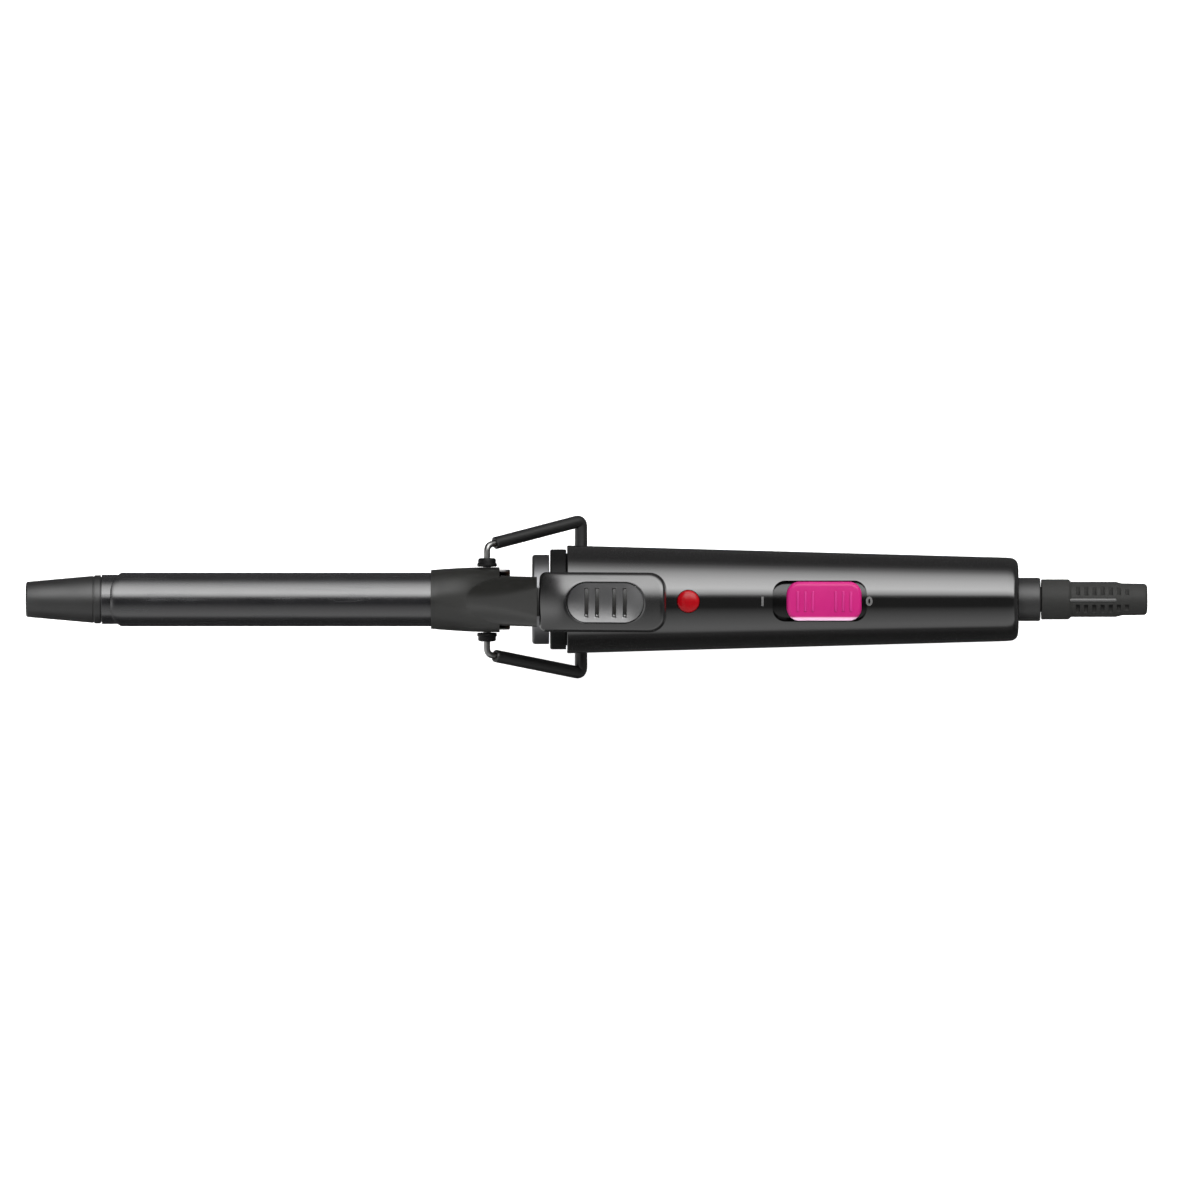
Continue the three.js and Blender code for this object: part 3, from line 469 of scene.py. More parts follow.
def rounded_plan(x0, x1, half, front_r, rear_r, steps=8, inset=0.0, runs=1):
    """Points of a rectangle from (x0, -half) to (x1, half) with its own corner radius at each end.

    Each straight run between two corners is cut into the given number of pieces."""
    x0, x1, half = x0 + inset, x1 - inset, half - inset
    front_r, rear_r = max(front_r - inset, 0.05), max(rear_r - inset, 0.05)
    centres = [
        (x1 - rear_r, -half + rear_r, rear_r, -90), (x1 - rear_r, half - rear_r, rear_r, 0),
        (x0 + front_r, half - front_r, front_r, 90), (x0 + front_r, -half + front_r, front_r, 180),
    ]
    points = []
    for k, (x, y, radius, start) in enumerate(centres):
        for i in range(steps + 1):
            angle = math.radians(start + 90 * i / steps)
            points.append((x + radius * math.cos(angle), y + radius * math.sin(angle)))
        next_x, next_y, next_radius, next_start = centres[(k + 1) % 4]
        turn = math.radians(next_start)
        goal = (next_x + next_radius * math.cos(turn), next_y + next_radius * math.sin(turn))
        here = points[-1]
        for i in range(1, runs):
            t = i / runs
            points.append(tuple((1 - t) * a + t * b for a, b in zip(here, goal)))
    return points


def prism(plan, z0, z1):
    return loft([[(x, y, z0) for x, y in plan], [(x, y, z1) for x, y in plan]])


def applied(mesh, modify):
    """The mesh after the modifiers that modify adds to an object of it."""
    holder = in_scene("work", mesh)
    modify(holder)
    bpy.context.view_layer.update()
    result = bpy.data.meshes.new_from_object(holder.evaluated_get(bpy.context.evaluated_depsgraph_get()))
    bpy.data.objects.remove(holder)
    return result


def welded(mesh):
    """Welds the mesh and turns all its faces outwards, so that it can be joined or cut."""
    work = bmesh.new()
    work.from_mesh(mesh)
    bmesh.ops.remove_doubles(work, verts=work.verts, dist=WELD)
    bmesh.ops.recalc_face_normals(work, faces=work.faces)
    work.to_mesh(mesh)
    work.free()
    return mesh


def combined(mesh, others, operation="DIFFERENCE"):
    result = welded(mesh)
    for other in others:
        tool = in_scene("tool", welded(other))

        def modify(holder):
            modifier = holder.modifiers.new("join", "BOOLEAN")
            modifier.operation = operation
            modifier.solver = "EXACT"
            modifier.object = tool

        result = applied(result, modify)
        bpy.data.objects.remove(tool)
    return result


def bevelled(mesh, width, segments=2, angle=40):
    def modify(holder):
        modifier = holder.modifiers.new("bevel", "BEVEL")
        modifier.width = width
        modifier.segments = segments
        modifier.limit_method = "ANGLE"
        modifier.angle_limit = math.radians(angle)

    return applied(welded(mesh), modify)


def joined(meshes):
    """One mesh of several that needn't touch."""
    work = bmesh.new()
    for mesh in meshes:
        work.from_mesh(mesh)
    result = bpy.data.meshes.new("shape")
    work.to_mesh(result)
    work.free()
    return result


def on_side(mesh, side):
    """A copy of a mesh drawn at the +Y side, kept there by 1 or mirrored by -1."""
    copy = mesh.copy()
    copy.transform(Matrix.Scale(side, 4, (0, 1, 0)))
    return copy


def swept(points, radius, segments=20, inner=0.0):
    """A round bar along a path, or a tube where inner is given."""
    frames = []
    side = None
    for i, point in enumerate(points):
        ahead = points[min(i + 1, len(points) - 1)]
        behind = points[max(i - 1, 0)]
        direction = (ahead - behind).normalized()
        guide = side if side is not None else direction.orthogonal()
        side = (guide - direction * guide.dot(direction)).normalized()
        frames.append((point, side, direction.cross(side), direction))

    def loop(frame_at, size, shift=0.0):
        point, u, v, along = frame_at
        angles = [2 * math.pi * i / segments for i in range(segments)]
        return [point + along * shift + (u * math.cos(a) + v * math.sin(a)) * size for a in angles]

    edge = radius * 0.2
    outside = [loop(frames[0], radius - edge)]
    outside += [loop(f, radius, edge if f is frames[0] else -edge if f is frames[-1] else 0) for f in frames]
    outside.append(loop(frames[-1], radius - edge))
    if inner == 0:
        return loft(outside)
    inside = [loop(f, inner) for f in reversed(frames)]
    return loft(outside + inside, closed=True)


def bent(points, bend, steps=8):
    """Straight runs joined by smooth bends that begin and end a bend's length from each corner."""
    path = [points[0]]
    for before, corner, after in zip(points, points[1:], points[2:]):
        enter = corner + (before - corner).normalized() * bend
        leave = corner + (after - corner).normalized() * bend
        for i in range(steps + 1):
            t = i / steps
            path.append(enter.lerp(corner, t).lerp(corner.lerp(leave, t), t))
    path.append(points[-1])
    return path


# ---- barrel ----
def make_tip():
    """A cone with a fine groove before its rear edge, and a spigot that goes into the barrel."""
    groove = TIP_LENGTH - 2.2
    groove_r = TIP_REAR_R - 0.35
    slope = (TIP_REAR_R - TIP_FRONT_R) / TIP_LENGTH
    spigot_r = BARREL_R - 0.7
    spigot_end = TIP_LENGTH + 9
    profile = [
        (0, 0, 0), (0, TIP_FRONT_R, 0.7),
        (groove - 0.4, TIP_REAR_R - slope * (TIP_LENGTH - groove) - 0.02, 0.1),
        (groove - 0.2, groove_r, 0.05), (groove + 0.1, groove_r, 0.05), (groove + 0.2, TIP_REAR_R, 0.1),
        (TIP_LENGTH, TIP_REAR_R, 0.2), (TIP_LENGTH, spigot_r, 0), (spigot_end, spigot_r, 0.2),
        (spigot_end, 0, 0),
    ]
    place("cool_tip_shell", turned(profile), "tip_plastic", "iron", ["cool_tip"])


def make_barrel():
    barrel = tube(BARREL_R, BARREL_R - BARREL_WALL, TIP_LENGTH + GAP, BARREL_END)
    place("barrel_shell", barrel, "ceramic_coat", "iron", ["barrel_tube"])
    insulator = tube(SLEEVE_TUBE_R, SLEEVE_TUBE_BORE_R, SLEEVE_TUBE_FRONT, SLEEVE_TUBE_END)
    place("insulator_tube", insulator, "insulator", "iron", ["insulator_sleeve"])


def make_clamp_plate():
    """A rolled half-tube whose front corners are rounded, with its cut edges eased."""
    reach = math.radians(84)
    around = 72
    along = 44
    half = PLATE_OUTER_R + 1
    straight = half - PLATE_CORNER

    def front(y):
        over = max(0.0, abs(y) - straight)
        return PLATE_FRONT + PLATE_CORNER - math.sqrt(PLATE_CORNER**2 - over**2)

    def point(radius, i, j):
        angle = reach * (2 * i / around - 1)
        y = radius * math.sin(angle)
        start = front(PLATE_OUTER_R * math.sin(angle))
        t = j / along
        return (start + (PLATE_END - start) * t, y, radius * math.cos(angle))

    loops = []
    for j in range(along + 1):
        outside = [point(PLATE_OUTER_R, i, j) for i in range(around + 1)]
        inside = [point(PLATE_INNER_R, i, j) for i in range(around, -1, -1)]
        loops.append(outside + inside)
    plate = loft(loops)
    plate = bevelled(plate, 0.16, 2, 50)
    place("clamp_plate_shell", plate, "ceramic_coat", "lever", ["clamp_plate"])


# ---- lever ----
def smooth_table(table, x):
    """Values at x from a table of (x, values...), with smooth slopes between its rows."""
    i = max(k for k in range(len(table) - 1) if table[k][0] <= x + 1e-9 or k == 0)
    span = table[i + 1][0] - table[i][0]
    t = (x - table[i][0]) / span
    values = []
    for column in range(1, len(table[0])):
        def slope(k):
            a = table[max(k - 1, 0)]
            b = table[min(k + 1, len(table) - 1)]
            return (b[column] - a[column]) / (b[0] - a[0]) * span

        p0, p1 = table[i][column], table[i + 1][column]
        m0, m1 = slope(i), slope(i + 1)
        values.append(
            p0 * (2 * t**3 - 3 * t**2 + 1) + m0 * (t**3 - 2 * t**2 + t)
            + p1 * (3 * t**2 - 2 * t**3) + m1 * (t**3 - t**2)
        )
    return values


def arch(x, half, top, bottom, corner, steps=14):
    """One cross-section: straight sides that stand on z = bottom, with rounded upper corners."""
    right = [(x, half, bottom)]
    for i in range(steps + 1):
        angle = math.pi / 2 * i / steps
        right.append((x, half - corner + corner * math.cos(angle), top - corner + corner * math.sin(angle)))
    return right + [(x, -y, z) for x, y, z in reversed(right)]


def arch_loft(table, wall=0.0, drop=0.0):
    """A run of arches through the table, or the space inside it where wall is given."""
    x0, x1 = table[0][0], table[-1][0]
    count = math.ceil((x1 - x0) / ARCH_SPACING)
    loops = []
    for i in range(count + 1):
        x = x0 + (x1 - x0) * i / count
        half, top, bottom, corner = smooth_table(table, x)
        loops.append(arch(x, half - wall, top - wall, bottom - drop, corner - wall))
    return loft(loops)


def stretched(mesh, by):
    """The same shape made a little longer at both ends, to cut right through."""
    xs = [v.co.x for v in mesh.vertices]
    low, high = min(xs), max(xs)
    for vertex in mesh.vertices:
        if vertex.co.x < low + 1e-4:
            vertex.co.x -= by
        if vertex.co.x > high - 1e-4:
            vertex.co.x += by
    return mesh


def hinge_hole():
    """A bar along the hinge line, to cut right through."""
    return turned(bar(-HOLE_REACH, HOLE_REACH, HOLE_R), 40, "y", (PIVOT.x, PIVOT.z))


def make_lever_arm():
    """A hood over the barrel's end, a neck that rises from it, and a tongue under the pad."""
    # Rows of x, half width, top, bottom and corner radius.
    hood_table = [
        (HOOD_FRONT, 9.35, 9.35, -0.2, 9.3),
        (131.5, 9.6, 9.75, -0.3, 9),
        (141, 10.1, 11.5, -1, 8.2),
        (HOOD_END, 10.2, 14.6, -1, 7.6),
    ]
    spine_table = [
        (136.5, NECK_HALF - 0.6, spine_top(136.5), 2.4, 6.6),
        (145, NECK_HALF, spine_top(145), 6, 7.2),
        (HOOD_END, NECK_HALF, spine_top(HOOD_END), 6.5, 6.6),
        (153.5, NECK_HALF, spine_top(153.5), spine_top(153.5) - 6.2, 6),
        (158, NECK_HALF, spine_top(158), spine_top(158) - 5.2, 5),
        (NECK_END, NECK_HALF, spine_top(NECK_END), spine_top(NECK_END) - 4, 3.8),
    ]
    hood = arch_loft(hood_table)
    hood_space = stretched(arch_loft(hood_table, HOOD_WALL, 1), 0.5)
    spine = arch_loft(spine_table)
    spine_space = stretched(arch_loft(spine_table, NECK_WALL, 1), 0.5)
    arm = combined(hood, [spine], "UNION")
    arm = combined(arm, [hood_space, spine_space])
    arm = combined(arm, [hinge_hole()])
    tongue_drop = PAD_TOP_WALL + GAP
    tongue_half = 4.5
    front, rear = 159, 198

    def under(x):
        return PAD_FRONT_Z + (x - PAD_FRONT) * math.tan(PAD_SLOPE) - tongue_drop

    section = [(front, under(front)), (rear, under(rear)), (rear, under(rear) - 1), (front, under(front) - 1)]
    tongue = loft([[(x, y, z) for x, z in section] for y in (-tongue_half, tongue_half)])
    arm = combined(arm, [bevelled(tongue, 0.2)], "UNION")
    place("lever_arm_shell", arm, "lever_paint", "lever", ["lever_arm"], 38)


def on_pad_slope(mesh):
    """Sets a mesh drawn level, with the pad's front top edge at the origin, on the pad's slope."""
    mesh.transform(Matrix.Translation((PAD_FRONT, 0, PAD_FRONT_Z)) @ Matrix.Rotation(-PAD_SLOPE, 4, "Y"))
    return mesh


def crown(x, y):
    """Height of the pad's top: a shallow arc across its width, which rolls down at the front."""
    fall = PAD_ROLL_FALL * (max(0.0, PAD_ROLL - x) / PAD_ROLL) ** 2
    return math.sqrt(PAD_CROWN_R**2 - y * y) - PAD_CROWN_R - fall


def grip_plan(inset):
    """The oval of the grip insert, with as many points as the pad's own outline."""
    radius = GRIP_HALF - 0.01
    return rounded_plan(GRIP_FRONT, GRIP_FRONT + GRIP_LENGTH, GRIP_HALF, radius, radius, 14, inset, PAD_RUNS)


def make_pad():
    """A crowned pad with eased edges and an oval dish for the grip."""
    def edge_plan(inset):
        return rounded_plan(0, PAD_LENGTH, PAD_HALF, *PAD_CORNERS, 14, inset, PAD_RUNS)

    edge = 1.1
    lower_edge = 0.5
    loops = [[(x, y, -PAD_THICKNESS) for x, y in edge_plan(lower_edge)]]
    loops.append([(x, y, -PAD_THICKNESS + lower_edge) for x, y in edge_plan(0)])
    for i in range(7):
        angle = math.pi / 2 * i / 6
        inset = edge * (1 - math.cos(angle))
        fall = edge * (1 - math.sin(angle))
        loops.append([(x, y, crown(x, y) - fall) for x, y in edge_plan(inset)])
    outer = edge_plan(edge)
    rim_edge = 0.25
    rim = grip_plan(-GAP - rim_edge)
    for i in range(1, 13):
        t = i / 12
        between = [((1 - t) * a + t * c, (1 - t) * b + t * d) for (a, b), (c, d) in zip(outer, rim)]
        loops.append([(x, y, crown(x, y)) for x, y in between])
    for angle in (30, 60, 90):
        turn = math.radians(angle)
        plan = grip_plan(-GAP - rim_edge + rim_edge * math.sin(turn))
        loops.append([(x, y, crown(x, y) - rim_edge * (1 - math.cos(turn))) for x, y in plan])
    floor = -GRIP_BOTTOM - 0.3
    loops.append([(x, y, floor) for x, y in grip_plan(-GAP)])
    pad = on_pad_slope(loft(loops))
    pocket_half = 5.2
    pocket_end = PAD_LENGTH - 2.5
    pocket = block(-1, pocket_end, -pocket_half, pocket_half, -PAD_THICKNESS - 1, -PAD_TOP_WALL)
    clear = 0.5
    handle_space = turned([
        (RING_FRONT - 6, 0, 0), (RING_FRONT - 6, HANDLE_FRONT_R + clear, 0),
        (HANDLE_FRONT, HANDLE_FRONT_R + clear, 0), (HANDLE_RIM_X, HANDLE_RIM_R + clear, 0),
        (HANDLE_RIM_X, 0, 0),
    ], 128)
    lift = Matrix.Translation(PIVOT) @ Matrix.Rotation(-LEVER_TRAVEL, 4, "Y") @ Matrix.Translation(-PIVOT)
    handle_space.transform(lift)
    pad = combined(pad, [on_pad_slope(pocket), handle_space])
    place("thumb_pad_shell", pad, "pad_black", "lever", ["thumb_pad"])


def make_grip():
    """An oval insert, hollowed across its width, with four grooves cut across it in two pairs."""
    middle_x = GRIP_FRONT + GRIP_LENGTH / 2
    straight = GRIP_LENGTH / 2 - GRIP_HALF
    columns = 150
    rows = 60
    rise = (GRIP_BOTTOM - GRIP_RIM) / (1 + GRIP_BOTTOM_Y / GRIP_HALF) ** 2
    end_rise = 0.35
    groove_half, groove_depth, groove_reach, groove_end = 0.6, 0.8, 4.6, 0.5

    def height(x, y):
        bowl = -GRIP_BOTTOM + rise * ((y - GRIP_BOTTOM_Y) / GRIP_HALF) ** 2
        over = max(0.0, abs(x) - straight) / GRIP_HALF
        bowl += end_rise * over**2
        cut = 0.0
        for centre in GRIP_GROOVE_XS:
            across = max(0.0, 1 - (abs(x - centre) / groove_half) ** 4)
            ends = max(0.0, min(1.0, (groove_reach - abs(y)) / groove_end))
            cut = max(cut, groove_depth * math.sqrt(across) * math.sqrt(ends))
        return bowl - cut

    verts = []
    for i in range(columns + 1):
        x = (GRIP_LENGTH / 2 - 0.02) * (2 * i / columns - 1)
        over = max(0.0, abs(x) - straight)
        reach = math.sqrt(max(GRIP_HALF**2 - over**2, 0.01))
        for j in range(rows + 1):
            y = reach * (2 * j / rows - 1)
            verts.append((middle_x + x, y, height(x, y)))
    faces = []
    width = rows + 1
    for i in range(columns):
        for j in range(rows):
            a = i * width + j
            faces.append((a, a + width, a + width + 1, a + 1))

    def thicken(holder):
        modifier = holder.modifiers.new("thickness", "SOLIDIFY")
        modifier.thickness = 0.25
        modifier.offset = -1

    grip = on_pad_slope(applied(mesh_of(verts, faces), thicken))
    place("grip_insert_skin", grip, "grip_grey", "lever", ["grip_insert"], 50)


def cross_slots(x, half_wide, z0, z1):
    """Two crossed bars that cut the driver's slots into a screw head."""
    half_long = 1.2
    return [
        block(x - half_long, x + half_long, -half_wide, half_wide, z0, z1),
        block(x - half_wide, x + half_wide, -half_long, half_long, z0, z1),
    ]


def make_pad_screw():
    x = 31
    head_r = 2
    tongue = 1
    top = -PAD_TOP_WALL - GAP - tongue - GAP / 2
    low = top - 0.4
    head = turned([(low, 0, 0), (low, head_r, 0.15), (top, head_r, 0.05), (top, 0, 0)], 40, "z", (x, 0))
    head = combined(head, cross_slots(x, 0.25, top - 1, top - 0.2))
    place("pad_screw_head", on_pad_slope(head), "steel", "lever", ["pad_screw"])


def make_spring():
    """A coil that stands on the insulator tube and bears on the neck's ceiling."""
    turns = 5
    coil_r = 2.9
    wire_r = 0.45
    x = 156.3
    foot = SLEEVE_TUBE_R + 0.8
    rise = spine_top(x - coil_r) - NECK_WALL - 2 * wire_r - foot
    steps = turns * 24
    points = []
    for i in range(steps + 1):
        angle = 2 * math.pi * turns * i / steps
        z = foot + rise * i / steps
        points.append(Vector((x + coil_r * math.cos(angle), coil_r * math.sin(angle), z)))
    mesh = swept(points, wire_r, 10)
    mesh.transform(TO_ROW)
    for polygon in mesh.polygons:
        polygon.use_smooth = True
    mesh.materials.append(MATERIALS["steel"])
    spring = in_scene("lever_spring_coil", mesh)
    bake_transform(spring)
    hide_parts("lever_spring")


# ---- hinge and stand ----
def make_bracket():
    """A steel strip that cradles the barrel and stands up as an ear at each side."""
    inner = BARREL_R + 0.2
    outer = inner + STEEL + 0.1
    ear_inner = EAR_OUTER - STEEL
    outer_knee, inner_knee = -1.5, -1
    arc = [math.radians(-15 - 150 * i / 40) for i in range(41)]
    section = [(EAR_OUTER, EAR_TOP), (EAR_OUTER, outer_knee)]
    section += [(outer * math.cos(a), outer * math.sin(a)) for a in arc]
    section += [(-EAR_OUTER, outer_knee), (-EAR_OUTER, EAR_TOP)]
    section += [(-ear_inner, EAR_TOP), (-ear_inner, inner_knee)]
    section += [(inner * math.cos(a), inner * math.sin(a)) for a in reversed(arc)]
    section += [(ear_inner, inner_knee), (ear_inner, EAR_TOP)]
    pressed = loft([[(x, y, z) for y, z in section] for x in (EAR_FRONT, EAR_END)])
    low, bend = -10, 2.4
    corners = [(EAR_FRONT, low, 0), (EAR_FRONT, EAR_TOP, bend), (EAR_END, EAR_TOP, bend), (EAR_END, low, 0)]
    side = rounded(corners, 8)
    outline = loft([[(p.x, y, p.y) for p in side] for y in (-HOLE_REACH, HOLE_REACH)])
    bracket = combined(pressed, [outline], "INTERSECT")
    bracket = bevelled(combined(bracket, [hinge_hole()]), 0.24, 3)
    place("hinge_bracket_plate", bracket, "steel", "iron", ["hinge_bracket"])


def make_pivots():
    """A headed pin and a stepped bush on the hinge line at each side."""
    centre = (PIVOT.x, PIVOT.z)
    pin_start, head_end, pin_end = 8.1, 8.65, 11.8
    head_r, pin_r = 2, 1.2
    pin = turned([
        (pin_start, 0, 0), (pin_start, head_r, 0.2), (head_end, head_r, 0.1), (head_end, pin_r, 0),
        (pin_end, pin_r, 0.2), (pin_end, 0, 0),
    ], 40, "y", centre)
    bore_middle = 12
    step_r = BUSH_R - 0.3
    bush = turned([
        (bore_middle, HOLE_R, 0), (BUSH_INNER_Y, HOLE_R, 0.1), (BUSH_INNER_Y, BUSH_R, 0.3),
        (BUSH_INNER_Y + 1, BUSH_R, 0.1), (BUSH_INNER_Y + 1.2, step_r, 0.1), (BUSH_OUTER_Y, step_r, 0.6),
        (BUSH_OUTER_Y, HOLE_R, 0.1), (bore_middle, HOLE_R, 0),
    ], 56, "y", centre)
    for name, side in (("left", 1), ("right", -1)):
        place(f"pin_{name}", on_side(pin, side), "steel", "iron", [f"pivot_pin_{name}"])
        place(f"bush_{name}", on_side(bush, side), "matte_black", "iron", [f"stand_bush_{name}"])


def make_stand():
    def across(point):
        return Vector((point.x, -point.y, point.z))

    bend = 2
    in_bush = Vector((PIVOT.x, 12.1, PIVOT.z))
    shoulder = Vector((PIVOT.x, SHOULDER_Y, PIVOT.z))
    corners = [in_bush, shoulder, STAND_CORNER, across(STAND_CORNER), across(shoulder), across(in_bush)]
    wire = swept(bent(corners, bend, 10), WIRE_R, 24)
    place("stand_wire_rod", wire, "steel", "stand", ["stand_wire"])
    leg_start = shoulder.lerp(STAND_CORNER, 0.08)
    route = bent([leg_start, STAND_CORNER, across(STAND_CORNER), across(leg_start)], bend, 12)
    sleeve = swept(route, SLEEVE_R, 28, WIRE_R + 0.15)
    place("stand_sleeve", sleeve, "sleeve_black", "stand",
          ["stand_sleeve_left", "stand_sleeve_right", "stand_sleeve_cross"])


# ---- handle ----
def make_collars():
    """A grey cup on the insulator tube, and a darker ring whose spigot goes into the handle."""
    bore = SLEEVE_TUBE_R + GAP
    end = RING_FRONT - GAP
    cup_r = COLLAR_R - 1.6
    cup_floor = COLLAR_FRONT + 1.8
    collar = turned([
        (COLLAR_FRONT + 1, bore, 0), (COLLAR_FRONT, bore, 0.2), (COLLAR_FRONT, COLLAR_R, 0.9),
        (end, COLLAR_R, 0.25), (end, cup_r, 0.1), (cup_floor, cup_r, 0.2), (cup_floor, bore, 0.1),
        (COLLAR_FRONT + 1, bore, 0),
    ], 128)
    spigot = HANDLE_FRONT_R - HANDLE_WALL - GAP
    ring_end = HANDLE_FRONT - GAP
    spigot_end = ring_end + 5.5
    ring_floor = RING_FRONT + 2
    collar_ring = turned([
        (RING_FRONT + 1, bore, 0), (RING_FRONT, bore, 0.2), (RING_FRONT, RING_R, 0.6),
        (ring_end, RING_R, 0.2), (ring_end, spigot, 0.1), (spigot_end, spigot - 0.15, 0.2),
        (spigot_end, spigot - 2, 0.2), (ring_floor, spigot - 2, 0.2), (ring_floor, bore, 0.1),
        (RING_FRONT + 1, bore, 0),
    ], 128)
    place("front_collar_shell", collar, "collar_grey", "iron", ["front_collar"])
    place("collar_ring_shell", collar_ring, "matte_black", "iron", ["collar_ring"])


def handle_tube():
    """The whole hollow handle, with a rib before the cord swivel's flange."""
    def inner(x):
        return handle_r(x) - HANDLE_WALL

    rib_front, rib_end, rib_r = 305.8, 308.1, 5.2
    wall_x = 311.8
    bore = NOSE_R + GAP + 0.1
    return turned([
        (HANDLE_FRONT, HANDLE_FRONT_R - 1, 0), (HANDLE_FRONT, HANDLE_FRONT_R, 0.35),
        (HANDLE_RIM_X, HANDLE_RIM_R, 1.5), (HANDLE_END, HANDLE_RIM_R - 0.35, 2.4),
        (HANDLE_END, bore, 0.3), (wall_x, bore, 0), (wall_x, HANDLE_RIM_R - HANDLE_WALL, 0),
        (rib_end, inner(rib_end), 0), (rib_end, rib_r, 0), (rib_front, rib_r, 0),
        (rib_front, inner(rib_front), 0), (HANDLE_FRONT, inner(HANDLE_FRONT), 0),
        (HANDLE_FRONT, HANDLE_FRONT_R - 1, 0),
    ], 160, pitch=5)


def handle_filled():
    """The space inside the handle's surface."""
    inside = 0.4
    return turned([
        (HANDLE_FRONT, 0, 0), (HANDLE_FRONT, HANDLE_FRONT_R - inside, 0),
        (HANDLE_RIM_X, HANDLE_RIM_R - inside, 0), (HANDLE_RIM_X, 0, 0),
    ], 64, pitch=WHOLE)


def post(radius, z0, z1, x, segments=40):
    """An upright round bar at x."""
    return turned(bar(z0, z1, radius), segments, "z", (x, 0), WHOLE)


def switch_saddle(radius):
    """A round bar that the recess's floor and the button's underside follow."""
    return turned(bar(SLOT_FRONT - 5, SLOT_END + 5, radius), 192, pitch=WHOLE)


def half_shell(half, inner_parts):
    """The handle's wall inside the half block, with seats and bosses that don't reach its surface."""
    added = [combined(mesh, [handle_filled()], "INTERSECT") for mesh in inner_parts]
    return combined(combined(handle_tube(), [half], "INTERSECT"), added, "UNION")


def make_top_shell():
    """The upper half, with a seat for the switch's recess."""
    upper = block(HANDLE_FRONT - 1, HANDLE_END + 1, -BEYOND, BEYOND, SEAM_GAP, BEYOND)
    spare, seat_half, seat_z = 2.5, 8.6, 10.8
    seat = block(SLOT_FRONT - spare, SLOT_END + spare, -seat_half, seat_half, seat_z, HANDLE_FRONT_R)
    bosses = [post(BOSS_R, 1, handle_r(x) - 1, x) for x in SCREW_XS]
    plan = rounded_plan(SLOT_FRONT, SLOT_END, SLOT_HALF, SLOT_CORNER, SLOT_CORNER, 12)
    cuts = [
        combined(prism(plan, seat_z, BEYOND), [switch_saddle(SLOT_FLOOR_R)]),
        block(STEM_SLOT_FRONT, STEM_SLOT_END, -STEM_SLOT_HALF, STEM_SLOT_HALF, 5, BEYOND),
        post(LENS_R + 0.2, 10, BEYOND, LENS_X, 64),
        *[post(1.3, 0, 9, x, 24) for x in SCREW_XS],
    ]
    shell = combined(half_shell(upper, [seat, *bosses]), cuts)
    near = 0.01
    # The faces inside the switch's recess, which take the darker black as painted shade.
    in_recess = [
        face.index for face in shell.polygons
        if SLOT_FRONT - near < face.center.x < SLOT_END + near
        and abs(face.center.y) < SLOT_HALF + near
        and 10 < face.center.z < math.sqrt(handle_r(face.center.x) ** 2 - face.center.y**2) - 0.15
    ]
    top = place("handle_top", shell, "gloss_black", "iron", ["handle_top_shell"])
    # Painted shade: the recess faces get the darker, less glossy black.
    top.data.materials.append(MATERIALS["recess_painted_shade"])
    for index in in_recess:
        top.data.polygons[index].material_index = 1


def make_bottom_shell():
    """The lower half, with sunk holes for the screws."""
    lower = block(HANDLE_FRONT - 1, HANDLE_END + 1, -BEYOND, BEYOND, -BEYOND, -SEAM_GAP)
    bosses = [post(BOSS_R, -handle_r(x) + 1, 0.7, x) for x in SCREW_XS]
    cuts = [post(1.7, -BEYOND, 2, x, 32) for x in SCREW_XS]
    cuts += [post(2.5, -BEYOND, -handle_r(x) + SCREW_SUNK + 0.2, x, 40) for x in SCREW_XS]
    shell = combined(half_shell(lower, bosses), cuts)
    place("handle_bottom", shell, "gloss_black", "iron", ["handle_bottom_shell"])


def make_screws():
    for x, name in zip(SCREW_XS, ("front", "rear")):
        seat = -handle_r(x) + SCREW_SUNK
        low, top = seat - 1.5, 7
        head_r, shank_r = 2.2, 1.1
        screw = turned([
            (low, 0, 0), (low, 1.2, 0.3), (low + 0.4, head_r, 0.3), (seat, head_r, 0.1),
            (seat, shank_r, 0), (top, shank_r, 0.3), (top, 0, 0),
        ], 40, "z", (x, 0))
        screw = combined(screw, cross_slots(x, 0.3, seat - 2, seat - 0.8))
        place(f"screw_{name}", screw, "steel", "iron", [f"shell_screw_{name}"])


# ---- switch, lamp and marks ----
def make_button():
    """A soft-edged cap with two groups of fine cross ribs, and a stem through the slot."""
    button_end = BUTTON_FRONT + BUTTON_LENGTH

    def plan(inset):
        return rounded_plan(BUTTON_FRONT, button_end, BUTTON_HALF, SLOT_CORNER, SLOT_CORNER, 12, inset)

    edge = 1.3
    rise = 1.5
    loops = [[(x, y, SLOT_FLOOR_R - 3) for x, y in plan(0)]]
    for i in range(8):
        angle = math.pi / 2 * i / 7
        inset = edge * (1 - math.cos(angle))
        loops.append([(x, y, BUTTON_TOP_Z - rise * (1 - math.sin(angle))) for x, y in plan(inset)])
    cap = combined(loft(loops), [switch_saddle(SLOT_FLOOR_R + GAP)])
    ribs = []
    rib_half, rib_reach, rib_rise, rib_pitch = 0.4, 3.2, 0.35, 2.4
    for group_x in (247.3, 259.3):
        for step in (-1, 0, 1):
            x = group_x + step * rib_pitch
            z1 = BUTTON_TOP_Z + rib_rise
            rib = block(x - rib_half, x + rib_half, -rib_reach, rib_reach, BUTTON_TOP_Z - 0.5, z1)
            ribs.append(bevelled(rib, 0.25, 4))
    stem = block(STEM_FRONT, STEM_END, -STEM_HALF, STEM_HALF, 7.4, SLOT_FLOOR_R + 1)
    button = combined(cap, [stem], "UNION")
    place("switch_button_cap", button, "magenta", "switch_slide", ["switch_button"])
    # The ribs take the paler magenta, a painted highlight along them.
    place("switch_button_ribs", joined(ribs), "magenta_painted_highlight", "switch_slide")


